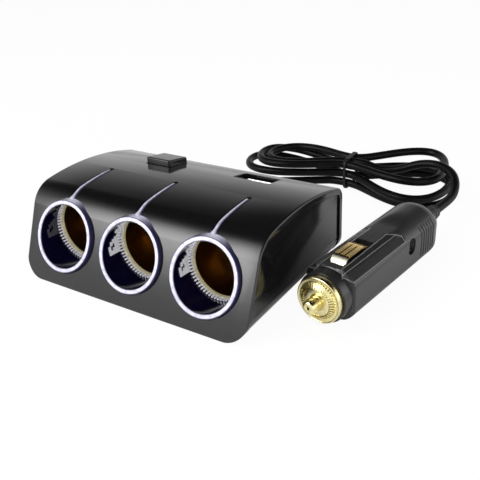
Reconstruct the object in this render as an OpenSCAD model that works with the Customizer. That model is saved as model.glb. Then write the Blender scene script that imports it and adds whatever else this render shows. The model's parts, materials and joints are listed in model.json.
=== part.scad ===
// Car power socket splitter: a sloped housing with three sockets in a row,
// a USB port and a push switch on top, and a cord that ends in a lighter plug.
// Millimetres. +X runs along the row of sockets, -Y faces the user, +Z is up.
// The origin is the middle of the housing's footprint, on the surface it stands on.

/* [Housing] */
// Width of the housing
body_w = 100; // [96:1:130]
// Depth of the housing
body_d = 69.2; // [68:0.2:90]
// Height of the top at its crest
crest_h = 33.3; // [33:0.1:38]
// Distance from the front foot back to the crest
crest_back = 34; // [31:1:38]
// Lean of the front face from upright, in degrees
face_lean = 22.6; // [20:0.2:25]
// Radius of the long top curve
top_r = 105; // [98:1:130]
// Radius of the brow between face and top
brow_r = 11.3; // [10:0.1:12.5]
// Radius of the rear top edge
rear_r = 5; // [3:0.5:7]
// Radius of the lower side edges
low_r = 8.9; // [7:0.1:10]
// Wall of the cover
cover_wall = 2.4; // [2.2:0.1:2.8]
// Wall of the base's sides
side_wall = 2.2; // [1.6:0.1:2.6]
// Floor of the base
floor_t = 1.6; // [1.2:0.1:1.8]
// How far the base's sides lie inside the cover's edges
side_recess = 0.8; // [0.4:0.1:1.2]

/* [Sockets] */
// Distance between socket centres
socket_pitch = 31.3; // [31:0.1:36]
// Height of a ring's centre, measured up the front face
socket_up = 18.5; // [18:0.1:20]
// Dip of the socket axes below level, in degrees
socket_dip = 4.5; // [3:0.5:6]
// Outer diameter of a light ring
ring_od = 26.8; // [26:0.1:28]
// Opening of a light ring
ring_id = 23.2; // [23:0.1:24]
// How far a ring stands out of the face
ring_proud = 1.4; // [0.8:0.1:2]
// Inner diameter of a sleeve's mouth
sleeve_id = 23.2; // [23:0.1:23.6]
// Wall of a sleeve at its mouth
sleeve_wall = 0.7; // [0.6:0.1:0.8]
// Inner diameter of a metal barrel
barrel_id = 21.4; // [21:0.1:21.6]
// Wall of a metal barrel
barrel_wall = 0.5; // [0.4:0.1:0.6]
// Depth of the barrel's floor behind the ring
barrel_depth = 36; // [33:0.5:37]
// Travel of a centre contact
contact_travel = 2; // [1:0.1:2.2]

/* [Light guides] */
// Width of a guide's tail at the ring
tail_w = 1.9; // [1.4:0.1:2.4]
// Width of a guide's tail at its tip
tail_tip_w = 1.1; // [0.8:0.1:1.4]
// Height of a tail above the cover
tail_proud = 0.3; // [0.1:0.1:0.6]

/* [Switch and port] */
// Width of the switch button
button_w = 11.8; // [10:0.1:14]
// Depth of the switch button
button_d = 11.2; // [9:0.1:12]
// Height of the button above the cover
button_proud = 2.8; // [2:0.1:4]
// Travel of the button
button_travel = 1.6; // [0.8:0.1:1.9]
// Distance of the button's centre left of the middle
button_x = 18.7; // [17:0.1:24]
// Distance of the button's centre behind the crest
button_back = 19.4; // [17:0.1:21]
// Width of the port's window
window_w = 15.4; // [14.8:0.1:17]
// Depth of the port's window
window_d = 8.8; // [8:0.1:10]
// Distance of the port's centre right of the middle
port_x = 21.4; // [19:0.1:28]
// Distance of the port's centre behind the crest
port_back = 22.4; // [20:0.1:24]

/* [Cord] */
// Diameter of the cord
cord_d = 3.6; // [3:0.1:3.8]
// Distance of the cord's gland left of the middle
gland_x = 30; // [24:0.5:34]
// Height of the cord's gland
gland_z = 11; // [9:0.5:14]
// Turns of the stored hank
hank_turns = 3; // [2:1:3]

/* [Plug] */
// Length of the plug from its tip to the end of the strain relief
plug_len = 84; // [82:1:90]
// Width of the plug's body across its two halves
plug_w = 18.6; // [18:0.1:19.4]
// Height of the plug's body at the contacts
plug_h = 18.8; // [18:0.1:19.4]
// Span over the two side contacts
contact_span = 21; // [20.6:0.1:21.4]
// Diameter of the metal nose flange
nose_d = 16; // [15:0.1:16.6]
// Diameter of the tip pin
pin_d = 4.8; // [4:0.1:5.4]
// Travel of the tip pin
pin_travel = 3; // [2:0.1:3.5]
// Diameter of the glass fuse
fuse_d = 6.3; // [5:0.1:6.5]
// Length of the glass fuse
fuse_l = 25; // [20:0.5:26]

/* [Hidden] */

// Fits and overruns shared by every piece
seat_gap = 0.1;
slide_gap = 0.2;
run_gap = 0.05;
cut_over = 2;
fine = 72;
small_fine = 32;

// Curve of the housing's side: straight face, brow, long top, rear edge
brow_steps = 24;
top_steps = 40;
rear_steps = 10;
low_steps = 16;
corner_steps = 8;
face_dir = [sin(face_lean), cos(face_lean)];
face_in = [cos(face_lean), -sin(face_lean)];
top_c = [crest_back, crest_h - top_r];
brow_foot = face_in * brow_r;
brow_b = face_dir * (brow_foot - top_c);
brow_q = (brow_foot - top_c) * (brow_foot - top_c) - pow(top_r - brow_r, 2);
brow_c = brow_foot + face_dir * (sqrt(brow_b * brow_b - brow_q) - brow_b);
rear_y = body_d - rear_r;
rear_c = [rear_y, top_c[1] + sqrt(pow(top_r - rear_r, 2) - pow(rear_y - crest_back, 2))];
brow_end = atan2(brow_c[1] - top_c[1], brow_c[0] - top_c[0]);
rear_end = atan2(rear_c[1] - top_c[1], rear_c[0] - top_c[0]);

function on_circle(c, r, a) = c + r * [cos(a), sin(a)];
function arc(c, r, a0, a1, steps) =
  [for (i = [0:steps]) on_circle(c, r, a0 + (a1 - a0) * i / steps)];
function arc_open(c, r, a0, a1, steps) =
  [for (i = [0:steps - 1]) on_circle(c, r, a0 + (a1 - a0) * i / steps)];

// Skin of the housing in the side view, moved inwards by t
function skin(t) = concat(
  arc_open(brow_c, brow_r - t, 180 - face_lean, brow_end, brow_steps),
  arc_open(top_c, top_r - t, brow_end, rear_end, top_steps),
  arc(rear_c, rear_r - t, rear_end, 0, rear_steps));
function side_section(t, sink) = concat(
  [[t / cos(face_lean) - sink * tan(face_lean), -sink]],
  skin(t),
  [[body_d - t, -sink]]);
// Height of the cover's skin, moved inwards by t, at a distance from the front foot
function skin_z(y, t) = top_c[1] + sqrt(pow(top_r - t, 2) - pow(y - crest_back, 2));

// Front view of the housing: upright sides, rounded lower edges
function front_outline(inset, low) =
  let (half = body_w / 2 - inset, r = low_r - inset, high = crest_h + cut_over + button_proud)
  concat(
    [[-half, high]],
    arc([r - half, low + r], r, 180, 270, low_steps),
    arc([half - r, low + r], r, 270, 360, low_steps),
    [[half, high]]);

module along_x(points, w)
  translate([-w / 2, -body_d / 2, 0]) rotate([90, 0, 90]) linear_extrude(w) polygon(points);
module along_y(points)
  translate([0, body_d / 2 + cut_over, 0]) rotate([90, 0, 0])
    linear_extrude(body_d + 2 * cut_over) polygon(points);

// Frames on the housing
module at_face(i)
  translate([i * socket_pitch, socket_up * face_dir[0] - body_d / 2, socket_up * face_dir[1]])
    rotate([90 - face_lean, 0, 0]) children();
// A socket's frame: +Y points into the socket
ring_sunk = 1.5;
mouth_proud = 0.4;
mouth_y = socket_up * face_dir[0] - mouth_proud * face_in[0];
mouth_z = socket_up * face_dir[1] - mouth_proud * face_in[1];
module at_socket(i)
  translate([i * socket_pitch, mouth_y - body_d / 2, mouth_z])
    rotate([-socket_dip, 0, 0]) children();
module turned() rotate([-90, 0, 0]) rotate_extrude($fn = fine) children();
module disc_between(r, d0, d1)
  translate([0, d0, 0]) rotate([-90, 0, 0]) cylinder(r = r, h = d1 - d0, $fn = fine);

// Sizes of a socket, measured along its axis from the ring's middle
sleeve_r = sleeve_id / 2;
sleeve_ro = sleeve_r + sleeve_wall;
barrel_r = barrel_id / 2;
barrel_ro = barrel_r + barrel_wall;
teeth_start = 7.4;
teeth_len = 1.5;
lip_len = 0.9;
lip_start = teeth_start + teeth_len + run_gap;
lip_end = lip_start + lip_len;
back_wall = 0.75;
sleeve_back_r = barrel_ro + run_gap;
sleeve_back_ro = sleeve_back_r + back_wall;
step_len = 0.6;
sleeve_end = barrel_depth - cover_wall;
boss_r = 4;
insulator_r = 6;
insulator_t = 1.8;
bus_t = 0.6;
bus_gap = 2.6;
ground_bus_at = barrel_depth + run_gap;
supply_bus_at = ground_bus_at + bus_t + bus_gap;
stem_r = 1.5;

// Plan of a guide's tail, from the brow back to the crest
tail_sunk = 0.7;
tail_start = 13;
tail_end = crest_back + tail_w / 2;
module tail_plan(extra)
  linear_extrude(crest_h + cut_over)
    polygon(concat(
      [[-tail_w / 2 - extra, tail_start - body_d / 2], [tail_w / 2 + extra, tail_start - body_d / 2]],
      arc([0, tail_end - body_d / 2], tail_tip_w / 2 + extra, 0, 180, corner_steps)));
module tail_band(extra, up, down, w)
  intersection() {
    difference() {
      along_x(side_section(-up, 0), w);
      along_x(side_section(down, cut_over), w + cut_over);
    }
    tail_plan(extra);
  }

// Shoulder that joins a ring to its tail
ring_edge = 0.6;
shoulder_w = 3.4;
shoulder_len = 3;
shoulder_up = 0.9;
module shoulder(extra)
  translate([-shoulder_w / 2 - extra, ring_od / 2 - ring_edge, -ring_sunk - extra])
    cube([shoulder_w + 2 * extra, shoulder_len + extra, ring_sunk + shoulder_up + 2 * extra]);

// Two screws stand between the sockets, two in the rear corners
screw_front = 21;
screw_rear = 9;
screw_side = 9;
screw_places = [
  [-socket_pitch / 2, screw_front - body_d / 2], [socket_pitch / 2, screw_front - body_d / 2],
  [screw_side - body_w / 2, body_d / 2 - screw_rear], [body_w / 2 - screw_side, body_d / 2 - screw_rear]];
screw_boss_r = 2.6;
screw_head_r = 2.1;
screw_head_t = 1.2;
screw_head_in = 0.4;
screw_r = 1.1;
base_boss_h = 8;
screw_reach = 6;
module at_screws() for (p = screw_places) translate([p[0], p[1], 0]) children();

// Switch and port on the top
button_y = crest_back + button_back;
port_y = crest_back + port_back;
module at_button() translate([-button_x, button_y - body_d / 2, 0]) children();
module at_port() translate([port_x, port_y - body_d / 2, 0]) children();
function rounded_box(w, d, r) = concat(
  arc([w / 2 - r, d / 2 - r], r, 0, 90, corner_steps),
  arc([r - w / 2, d / 2 - r], r, 90, 180, corner_steps),
  arc([r - w / 2, r - d / 2], r, 180, 270, corner_steps),
  arc([w / 2 - r, r - d / 2], r, 270, 360, corner_steps));
module upright(w, d, r, z0, z1)
  translate([0, 0, z0]) linear_extrude(z1 - z0) polygon(rounded_box(w, d, r));
button_corner = 1;
skirt_out = 1;
skirt_t = 1;
button_shelf = skin_z(button_y + button_d / 2 + skirt_out, cover_wall) - slide_gap;
window_corner = 0.6;

// Gland that holds the cord in the rear wall
gland_hole_r = 3.6;
gland_flange_r = 5.2;
gland_flange_t = 1.2;
boot_len = 13;
boot_r = 3.4;
boot_tip_r = 2.6;
groove_count = 4;
groove_deep = 0.5;

// Circuit board and what stands on it
board_w = 72;
board_d = 15.4;
board_t = 1.6;
board_z = 11;
board_y = body_d / 2 - cover_wall - seat_gap - gland_flange_t - slide_gap - board_d / 2;
post_r = 1.8;
post_inset = 3.2;
switch_w = 8.4;
switch_body_h = 8;
plunger_r = 1.6;
usb_w = 13.1;
usb_d = 5.7;
usb_t = 0.3;
usb_lip = 0.5;
usb_below = 1.4;
usb_base_h = 3.2;
tongue_w = 11.1;
tongue_t = 1.84;
tongue_short = 1.2;
usb_top = skin_z(port_y + window_d / 2, 0) - usb_below;
led_r = 1.2;
led_h = 1.4;
led_board_w = 68;
led_board_d = 4.4;
led_board_t = 0.8;
led_board_top = skin_z(crest_back + led_board_d / 2, cover_wall) - led_h - seat_gap;

module top_cover() color("#141517") {
  difference() {
    intersection() {
      along_x(side_section(0, 0), body_w);
      along_y(front_outline(0, 0));
    }
    along_x(side_section(cover_wall, cut_over), body_w + cut_over);
    for (i = [-1:1]) {
      at_face(i) translate([0, 0, -ring_sunk - run_gap])
        cylinder(r = ring_od / 2 + run_gap, h = cover_wall + cut_over, $fn = fine);
      at_socket(i) disc_between(sleeve_ro + seat_gap, -sleeve_r, barrel_depth);
      at_face(i) shoulder(seat_gap);
      translate([i * socket_pitch, 0, 0])
        tail_band(slide_gap, cut_over, tail_sunk + seat_gap, tail_w + cut_over);
      translate([i * socket_pitch, tail_end - body_d / 2, 0])
        cylinder(r = led_r, h = crest_h, $fn = small_fine);
    }
    at_button() upright(button_w + 2 * slide_gap, button_d + 2 * slide_gap, button_corner + slide_gap,
                        crest_h / 2, crest_h + cut_over);
    at_port() upright(window_w, window_d, window_corner, crest_h / 2, crest_h + cut_over);
    translate([-gland_x, body_d / 2 - cover_wall - cut_over, gland_z]) rotate([-90, 0, 0])
      cylinder(r = gland_hole_r + run_gap, h = cover_wall + 2 * cut_over, $fn = fine);
  }
  intersection() {
    difference() {
      at_screws() translate([0, 0, base_boss_h + run_gap])
        cylinder(r = screw_boss_r, h = crest_h, $fn = small_fine);
      at_screws() translate([0, 0, base_boss_h])
        cylinder(r = screw_r + run_gap, h = screw_reach + seat_gap, $fn = small_fine);
    }
    along_x(side_section(cover_wall / 2, 0), body_w);
  }
}

module base_housing() color("#1a1b1e") {
  difference() {
    intersection() {
      along_x(side_section(cover_wall + seat_gap, 0), body_w - 2 * side_recess);
      along_y(front_outline(side_recess, 0));
    }
    along_y(front_outline(side_recess + side_wall, floor_t));
    at_screws() screw_sink();
  }
  difference() {
    at_screws() translate([0, 0, floor_t / 2])
      cylinder(r = screw_boss_r, h = base_boss_h - floor_t / 2, $fn = small_fine);
    at_screws() screw_sink();
  }
  for (i = [-1:1]) cradle(i);
  for (x = [-1, 1], y = [-1, 1])
    translate([x * (board_w / 2 - post_inset), board_y + y * (board_d / 2 - post_inset), floor_t / 2])
      cylinder(r = post_r, h = board_z - floor_t / 2, $fn = small_fine);
}
module screw_sink() {
  translate([0, 0, -cut_over])
    cylinder(r = screw_head_r + seat_gap, h = cut_over + screw_head_in + screw_head_t + run_gap,
             $fn = small_fine);
  cylinder(r = screw_r + seat_gap, h = base_boss_h + cut_over, $fn = small_fine);
}
cradle_t = 2;
cradle_w = 16;
cradle_at = 22;
cradle_h = 5;
module cradle(i)
  difference() {
    translate([i * socket_pitch - cradle_w / 2, cradle_at - body_d / 2, floor_t / 2])
      cube([cradle_w, cradle_t, cradle_h]);
    at_socket(i) disc_between(sleeve_back_ro + run_gap, 0, barrel_depth);
  }

module housing_screws() color("#8b8d90") at_screws() {
  translate([0, 0, screw_head_in]) difference() {
    cylinder(r = screw_head_r, h = screw_head_t, $fn = small_fine);
    for (a = [0, 90]) rotate([0, 0, a])
      translate([-screw_r, -screw_head_in / 2, -screw_head_t / 2])
        cube([2 * screw_r, screw_head_in, screw_head_t]);
  }
  translate([0, 0, screw_head_in + screw_head_t - run_gap])
    cylinder(r = screw_r, h = base_boss_h + screw_reach - screw_head_in - screw_head_t, $fn = small_fine);
}

module light_guide(i) color("#d9d9f2") {
  difference() {
    at_face(i) {
      rotate_extrude($fn = fine) polygon(concat(
        [[ring_id / 2, -ring_sunk], [ring_od / 2, -ring_sunk]],
        arc([ring_od / 2 - ring_edge, ring_proud - ring_edge], ring_edge, 0, 90, corner_steps),
        arc([ring_id / 2 + ring_edge / 2, ring_proud - ring_edge / 2], ring_edge / 2, 90, 180,
            corner_steps)));
      shoulder(0);
    }
    at_socket(i) disc_between(sleeve_r - run_gap, -sleeve_r, sleeve_r);
  }
  translate([i * socket_pitch, 0, 0]) tail_band(0, tail_proud, tail_sunk, tail_w + cut_over);
}
module light_guide_left() light_guide(-1);
module light_guide_middle() light_guide(0);
module light_guide_right() light_guide(1);

module before_ring(i)
  at_face(i) translate([0, 0, -ring_sunk - seat_gap]) cylinder(r = ring_od, h = ring_od, $fn = small_fine);
module socket_sleeve(i) color("#0d0e2b")
  difference() {
    at_socket(i) turned() polygon([
      [sleeve_ro, -sleeve_r],
      [sleeve_ro, lip_end],
      [sleeve_back_ro, lip_end + step_len],
      [sleeve_back_ro, sleeve_end],
      [sleeve_back_r, sleeve_end],
      [sleeve_back_r, lip_end + run_gap],
      [sleeve_r, lip_end + run_gap],
      [sleeve_r, -sleeve_r]]);
    before_ring(i);
    translate([i * socket_pitch, 0, 0])
      tail_band(slide_gap, cut_over, tail_sunk + seat_gap, tail_w + cut_over);
  }
module socket_sleeve_left() socket_sleeve(-1);
module socket_sleeve_middle() socket_sleeve(0);
module socket_sleeve_right() socket_sleeve(1);

// Sprung comb in front of the barrel's lip
tooth_count = 44;
tooth_deep = 0.5;
comb_t = 0.55;
tooth_share = 0.5;
module tooth_ring(i) color("#e6e6ee")
  at_socket(i) translate([0, teeth_start, 0]) rotate([-90, 0, 0]) linear_extrude(teeth_len)
    difference() {
      circle(r = sleeve_r - run_gap, $fn = fine);
      polygon([for (k = [0:tooth_count - 1], e = [0, 1, 2, 3])
        on_circle([0, 0], sleeve_r - comb_t + (e == 1 || e == 2 ? tooth_deep - seat_gap : 0),
                  360 / tooth_count * (k + (e < 2 ? 0 : tooth_share)))]);
    }
module tooth_ring_left() tooth_ring(-1);
module tooth_ring_middle() tooth_ring(0);
module tooth_ring_right() tooth_ring(1);

module socket_barrel(i) color("#c8a24a")
  at_socket(i) turned() polygon([
    [sleeve_r - comb_t, lip_start],
    [sleeve_r - run_gap, lip_start],
    [sleeve_r - run_gap, lip_end],
    [barrel_ro, lip_end],
    [barrel_ro, barrel_depth],
    [boss_r, barrel_depth],
    [boss_r, barrel_depth - barrel_wall],
    [barrel_r - cup_step, barrel_depth - barrel_wall],
    [barrel_r - cup_step, cup_at],
    [barrel_r, cup_at],
    [barrel_r, lip_end]]);
module socket_barrel_left() socket_barrel(-1);
module socket_barrel_middle() socket_barrel(0);
module socket_barrel_right() socket_barrel(1);

// Bright clip on the sleeve's wall
clip_start = 1.8;
clip_end = teeth_start - seat_gap;
clip_t = 0.35;
clip_from = 128;
clip_to = 176;
module ground_clip(i) color("#cfd3d8")
  difference() {
    at_socket(i) rotate([90, 0, 0]) translate([0, 0, -clip_end])
      linear_extrude(clip_end - clip_start) polygon(concat(
        arc([0, 0], sleeve_r - run_gap, clip_from, clip_to, corner_steps),
        arc([0, 0], sleeve_r - run_gap - clip_t, clip_to, clip_from, corner_steps)));
    before_ring(i);
  }
module ground_clip_left() mirror([1, 0, 0]) ground_clip(1);
module ground_clip_middle() ground_clip(0);
module ground_clip_right() ground_clip(1);

module contact_insulators() color("#d8cfb4")
  for (i = [-1:1]) at_socket(i) turned() polygon([
    [stem_r + run_gap, barrel_depth - barrel_wall - seat_gap - insulator_t],
    [insulator_r, barrel_depth - barrel_wall - seat_gap - insulator_t],
    [insulator_r, barrel_depth - barrel_wall - seat_gap],
    [boss_r - run_gap, barrel_depth - barrel_wall - seat_gap],
    [boss_r - run_gap, supply_bus_at - run_gap],
    [stem_r + run_gap, supply_bus_at - run_gap]]);

contact_r = 3.2;
contact_t = 1.9;
contact_dome = 0.7;
insulator_face = barrel_depth - barrel_wall - seat_gap - insulator_t;
contact_coil_r = 2.2;
contact_coils = 4;
spring_wire = 0.4;
spring_room = contact_travel + contact_coils * spring_wire + slide_gap;
contact_at = insulator_face - spring_room;
cup_step = 0.4;
cup_before = 0.4;
cup_at = contact_at - contact_t - cup_before;
tail_head_r = 2.3;
tail_head_t = 1;
tail_head_at = supply_bus_at + bus_t + seat_gap;
module centre_contact(i) color("#d6b25c")
  at_socket(i) turned() polygon(concat(
    [[0, contact_at - contact_t]],
    [[contact_r - contact_dome, contact_at - contact_t]],
    [[contact_r, contact_at - contact_t + contact_dome], [contact_r, contact_at],
     [stem_r, contact_at], [stem_r, tail_head_at], [tail_head_r, tail_head_at],
     [tail_head_r, tail_head_at + tail_head_t], [0, tail_head_at + tail_head_t]]));
module centre_contact_left() centre_contact(-1);
module centre_contact_middle() centre_contact(0);
module centre_contact_right() centre_contact(1);

// A tube swept along points, as one closed skin
function unit(v) = v / norm(v);
function heading(points, i) =
  unit(points[min(i + 1, len(points) - 1)] - points[max(i - 1, 0)]);
function tube_points(points, r, sides, ref) =
  [for (i = [0:len(points) - 1])
    let (t = heading(points, i), s = unit(cross(t, ref)), u = cross(s, t))
    for (k = [0:sides - 1]) points[i] + r * (cos(360 * k / sides) * s + sin(360 * k / sides) * u)];
function tube_faces(rings, sides) = concat(
  [for (k = [1:sides - 2]) [0, k, k + 1]],
  [for (i = [0:rings - 2], k = [0:sides - 1])
    [i * sides + k, (i + 1) * sides + k, (i + 1) * sides + (k + 1) % sides]],
  [for (i = [0:rings - 2], k = [0:sides - 1])
    [i * sides + k, (i + 1) * sides + (k + 1) % sides, i * sides + (k + 1) % sides]],
  [for (k = [1:sides - 2])
    [(rings - 1) * sides, (rings - 1) * sides + k + 1, (rings - 1) * sides + k]]);
module tube(points, r, sides, ref)
  polyhedron(tube_points(points, r, sides, ref), tube_faces(len(points), sides));

// A compression spring along +Z with flat-lying end coils
coil_rings = 8;
coil_sides = 6;
function coil(r, h, turns) =
  [for (i = [0:turns * coil_rings])
    [r * cos(360 * i / coil_rings), r * sin(360 * i / coil_rings), h * i / (turns * coil_rings)]];
module spring(r, wire, h, turns)
  translate([0, 0, wire / 2]) tube(coil(r, h - wire, turns), wire / 2, coil_sides, [0, 0, 1]);

module contact_spring(i) color("#b9bcc0")
  at_socket(i) translate([0, contact_at + run_gap, 0]) rotate([-90, 0, 0])
    spring(contact_coil_r, spring_wire, spring_room - 2 * run_gap, contact_coils);
module contact_spring_left() contact_spring(-1);
module contact_spring_middle() contact_spring(0);
module contact_spring_right() contact_spring(1);

bus_half = 4.6;
bus_over = 5;
module bus(at, hole)
  at_socket(0) difference() {
    translate([-socket_pitch - bus_over, at, -bus_half])
      cube([2 * (socket_pitch + bus_over), bus_t, 2 * bus_half]);
    for (i = [-1:1]) translate([i * socket_pitch, 0, 0]) disc_between(hole, at - cut_over, at + cut_over);
  }
module ground_bus() color("#b87333") bus(ground_bus_at, boss_r + run_gap);
module supply_bus() color("#c9a227") bus(supply_bus_at, stem_r + run_gap);

module led_board() color("#1f6b45")
  translate([-led_board_w / 2, tail_end - body_d / 2 - led_board_d / 2, led_board_top - led_board_t])
    cube([led_board_w, led_board_d, led_board_t]);
module guide_leds() color("#f2f4ff")
  for (i = [-1:1]) translate([i * socket_pitch, tail_end - body_d / 2, led_board_top])
    cylinder(r = led_r - seat_gap, h = led_h, $fn = small_fine);

module circuit_board() color("#1f6b45")
  translate([-board_w / 2, board_y - board_d / 2, board_z]) cube([board_w, board_d, board_t]);
coil_core_r = 3.4;
coil_core_h = 4.5;
can_r = 2.5;
can_h = 7;
chip_w = 5;
chip_h = 1.4;
part_step = 8;
module board_parts() color("#3a3d42") translate([0, board_y, board_z + board_t]) {
  difference() {
    cylinder(r = coil_core_r, h = coil_core_h, $fn = small_fine);
    translate([0, 0, coil_core_h - chip_h]) cylinder(r = can_r - seat_gap, h = cut_over, $fn = small_fine);
  }
  translate([part_step, 0, 0]) cylinder(r = can_r, h = can_h, $fn = small_fine);
  translate([-part_step - chip_w / 2, -chip_w / 2, 0]) cube([chip_w, chip_w, chip_h]);
}

module usb_shell() color("#c9ccd1")
  at_port() difference() {
    union() {
      upright(usb_w, usb_d, window_corner, board_z + board_t, usb_top);
      upright(usb_w + 2 * usb_lip, usb_d + 2 * usb_lip, window_corner + usb_lip, usb_top - usb_t, usb_top);
    }
    upright(usb_w - 2 * usb_t, usb_d - 2 * usb_t, window_corner - usb_t,
            board_z - cut_over, usb_top + cut_over);
  }
module usb_tongue() color("#ececec") at_port() {
  upright(usb_w - 2 * usb_t - 2 * run_gap, usb_d - 2 * usb_t - 2 * run_gap, window_corner - usb_t,
          board_z + board_t, board_z + board_t + usb_base_h);
  translate([-tongue_w / 2, -tongue_t / 2, board_z + board_t])
    cube([tongue_w, tongue_t, usb_top - tongue_short - board_z - board_t]);
}

module switch_button() color("#101113") at_button() {
  intersection() {
    upright(button_w, button_d, button_corner,
            button_shelf - skirt_t / 2, crest_h + button_proud + cut_over);
    translate([button_x, body_d / 2 - button_y, 0]) along_x(side_section(-button_proud, 0), body_w);
  }
  upright(button_w + 2 * skirt_out, button_d + 2 * skirt_out, button_corner,
          button_shelf - skirt_t, button_shelf);
  translate([0, 0, board_z + board_t + switch_body_h / 2])
    cylinder(r = plunger_r, h = button_shelf - skirt_t / 2 - board_z - board_t - switch_body_h / 2,
             $fn = small_fine);
}
module switch_body() color("#2a2c30") at_button()
  difference() {
    upright(switch_w, switch_w, button_corner, board_z + board_t, board_z + board_t + switch_body_h);
    translate([0, 0, board_z + board_t + switch_body_h / 2 - button_travel - slide_gap])
      cylinder(r = plunger_r + seat_gap, h = switch_body_h, $fn = small_fine);
  }
switch_coil_r = 2.6;
switch_coils = 3;
switch_spring_z = board_z + board_t + switch_body_h;
module switch_spring() color("#b9bcc0") at_button() translate([0, 0, switch_spring_z + run_gap])
  spring(switch_coil_r, spring_wire, button_shelf - skirt_t - switch_spring_z - 2 * run_gap, switch_coils);

// Boot and gland on the rear wall, with ring grooves that let it bend
module boot(len, r0, r1, grooves) difference() {
  rotate_extrude($fn = fine) polygon(concat(
    [[0, 0], [r0, 0]],
    [for (g = [0:grooves - 1], e = [0:3])
      let (a = (g + (e + 1) / 5) / grooves)
      [r0 + (r1 - r0) * a - (e == 1 || e == 2 ? groove_deep : 0), len * a]],
    [[r1, len], [0, len]]));
}
module cord_gland() color("#17181a")
  translate([-gland_x, body_d / 2 - cover_wall - seat_gap, gland_z]) rotate([-90, 0, 0]) {
    translate([0, 0, -gland_flange_t]) cylinder(r = gland_flange_r, h = gland_flange_t, $fn = fine);
    cylinder(r = gland_hole_r, h = cover_wall + 2 * seat_gap, $fn = fine);
    translate([0, 0, cover_wall + 2 * seat_gap])
      cylinder(r = gland_flange_r, h = gland_flange_t, $fn = fine);
    translate([0, 0, cover_wall + 2 * seat_gap + gland_flange_t])
      boot(boot_len, boot_r, boot_tip_r, groove_count);
  }
gland_end = body_d / 2 + seat_gap + gland_flange_t + boot_len;

// Frame of the plug: its tip is the origin and +Y runs back along its axis
plug_x = 63.6;
plug_y = -19.4;
plug_z = contact_span / 2;
plug_heading = 8;
module at_plug() translate([plug_x, plug_y, plug_z]) rotate([0, 0, -plug_heading]) children();
function plug_point(s) = [plug_x + s * sin(plug_heading), plug_y + s * cos(plug_heading), plug_z];

// Stored hank: loops to the right and left of a waist, piled as they wind.
// One entry a turn: how far each lobe reaches, and how wide it opens far and near
hank_x = 25;
hank_y = 97;
hank_angle = 2;
hank_pinch = 4.6;
hank_step = 4.4;
hank_low = 2;
waist_lift = 1.1;
reach_right = [47, 45.5, 41.5];
far_right = [40, 34, 53];
near_right = [32.5, 40, 22];
reach_left = [52.5, 45.5, 41];
far_left = [24.5, 26, 21];
near_left = [28, 28, 22];
fold_share = 0.28;
rings_per_turn = 24;
cord_sides = 8;
hank_sides = 6;
climb_from = 0.55;
climb_to = 0.75;
function eased(f) = f * f * (3 - 2 * f);
function opened(c) = c * c * sqrt((1 + fold_share * fold_share) / (c * c + fold_share * fold_share));
function level(t) = let (w = min(floor(t), hank_turns - 1), f = t - w)
  w == hank_turns - 1 || f < climb_from ? w
    : f > climb_to ? w + 1 : w + eased((f - climb_from) / (climb_to - climb_from));
function hank_point(t) =
  let (a = 270 + 360 * t,
       j = min(floor(t), hank_turns - 1),
       near = sin(a) < 0,
       right = cos(a) > 0.001,
       reach = right ? reach_right[j] : reach_left[j],
       open = right ? (near ? near_right[j] : far_right[j]) : near ? near_left[j] : far_left[j],
       pinch = t < hank_turns - 0.25 ? hank_pinch : 0,
       u = reach * cos(a),
       v = sin(a) * (pinch + (open - pinch) * opened(cos(a))))
  [hank_x + u * cos(hank_angle) - v * sin(hank_angle),
   hank_y + u * sin(hank_angle) + v * cos(hank_angle),
   hank_low + waist_lift * sin(a) * sin(a) + hank_step * level(t)];
hank_run = [cos(hank_angle), sin(hank_angle), 0];
hank_start = hank_point(0) - cord_d * hank_run;
hank_end = hank_point(hank_turns) + cord_d * hank_run;
hank_path = concat(
  [hank_start],
  [for (i = [0:hank_turns * rings_per_turn]) hank_point(i / rings_per_turn)],
  [hank_end]);
hank_gap = min([for (i = [0:len(hank_path) - 1], j = [i + 4:1:len(hank_path) - 1])
  norm(hank_path[i] - hank_path[j])]) - cord_d;
echo(least_gap_between_hank_strands = hank_gap);

// Hand-chosen routes of the two free stretches
route_in = [[-29.5, 58, 8.6], [-27, 64, 5.4], [-21, 71, 2.8], [-8, 81, 2], [6, 88, 2.3]];
route_out = [
  [40, 98, 9.8], [48, 99.2, 11], [57, 100.5, 14.4], [66, 99.5, 15.4], [74, 92.5, 14.4], [77.5, 81, 11.4]];
function spline_at(p, i, f) =
  let (a = p[max(i - 1, 0)], b = p[i], c = p[i + 1], d = p[min(i + 2, len(p) - 1)])
  0.5 * (2 * b + (c - a) * f + (2 * a - 5 * b + 4 * c - d) * f * f + (3 * b - a - 3 * c + d) * f * f * f);
function spline(p, steps) = concat(
  [for (i = [0:len(p) - 2], k = [0:steps - 1]) spline_at(p, i, k / steps)],
  [p[len(p) - 1]]);
free_steps = 2;
gland_point = [-gland_x, gland_end, gland_z];
in_knots = concat([gland_point + [0, cord_d, 0]], route_in, [hank_start - cord_d * hank_run]);
out_knots = concat([hank_end + cord_d * hank_run], route_out, [plug_point(plug_len + cord_d)]);
module cord_to_hank() color("#0e0f10")
  tube(concat([gland_point], spline(in_knots, free_steps), [hank_start]), cord_d / 2, cord_sides, [0, 0, 1]);
module cord_hank() color("#0e0f10") tube(hank_path, cord_d / 2, hank_sides, [0, 0, 1]);
module cord_to_plug() color("#0e0f10")
  tube(concat([hank_end], spline(out_knots, free_steps), [plug_point(plug_len)]),
       cord_d / 2, cord_sides, [0, 0, 1]);

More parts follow.
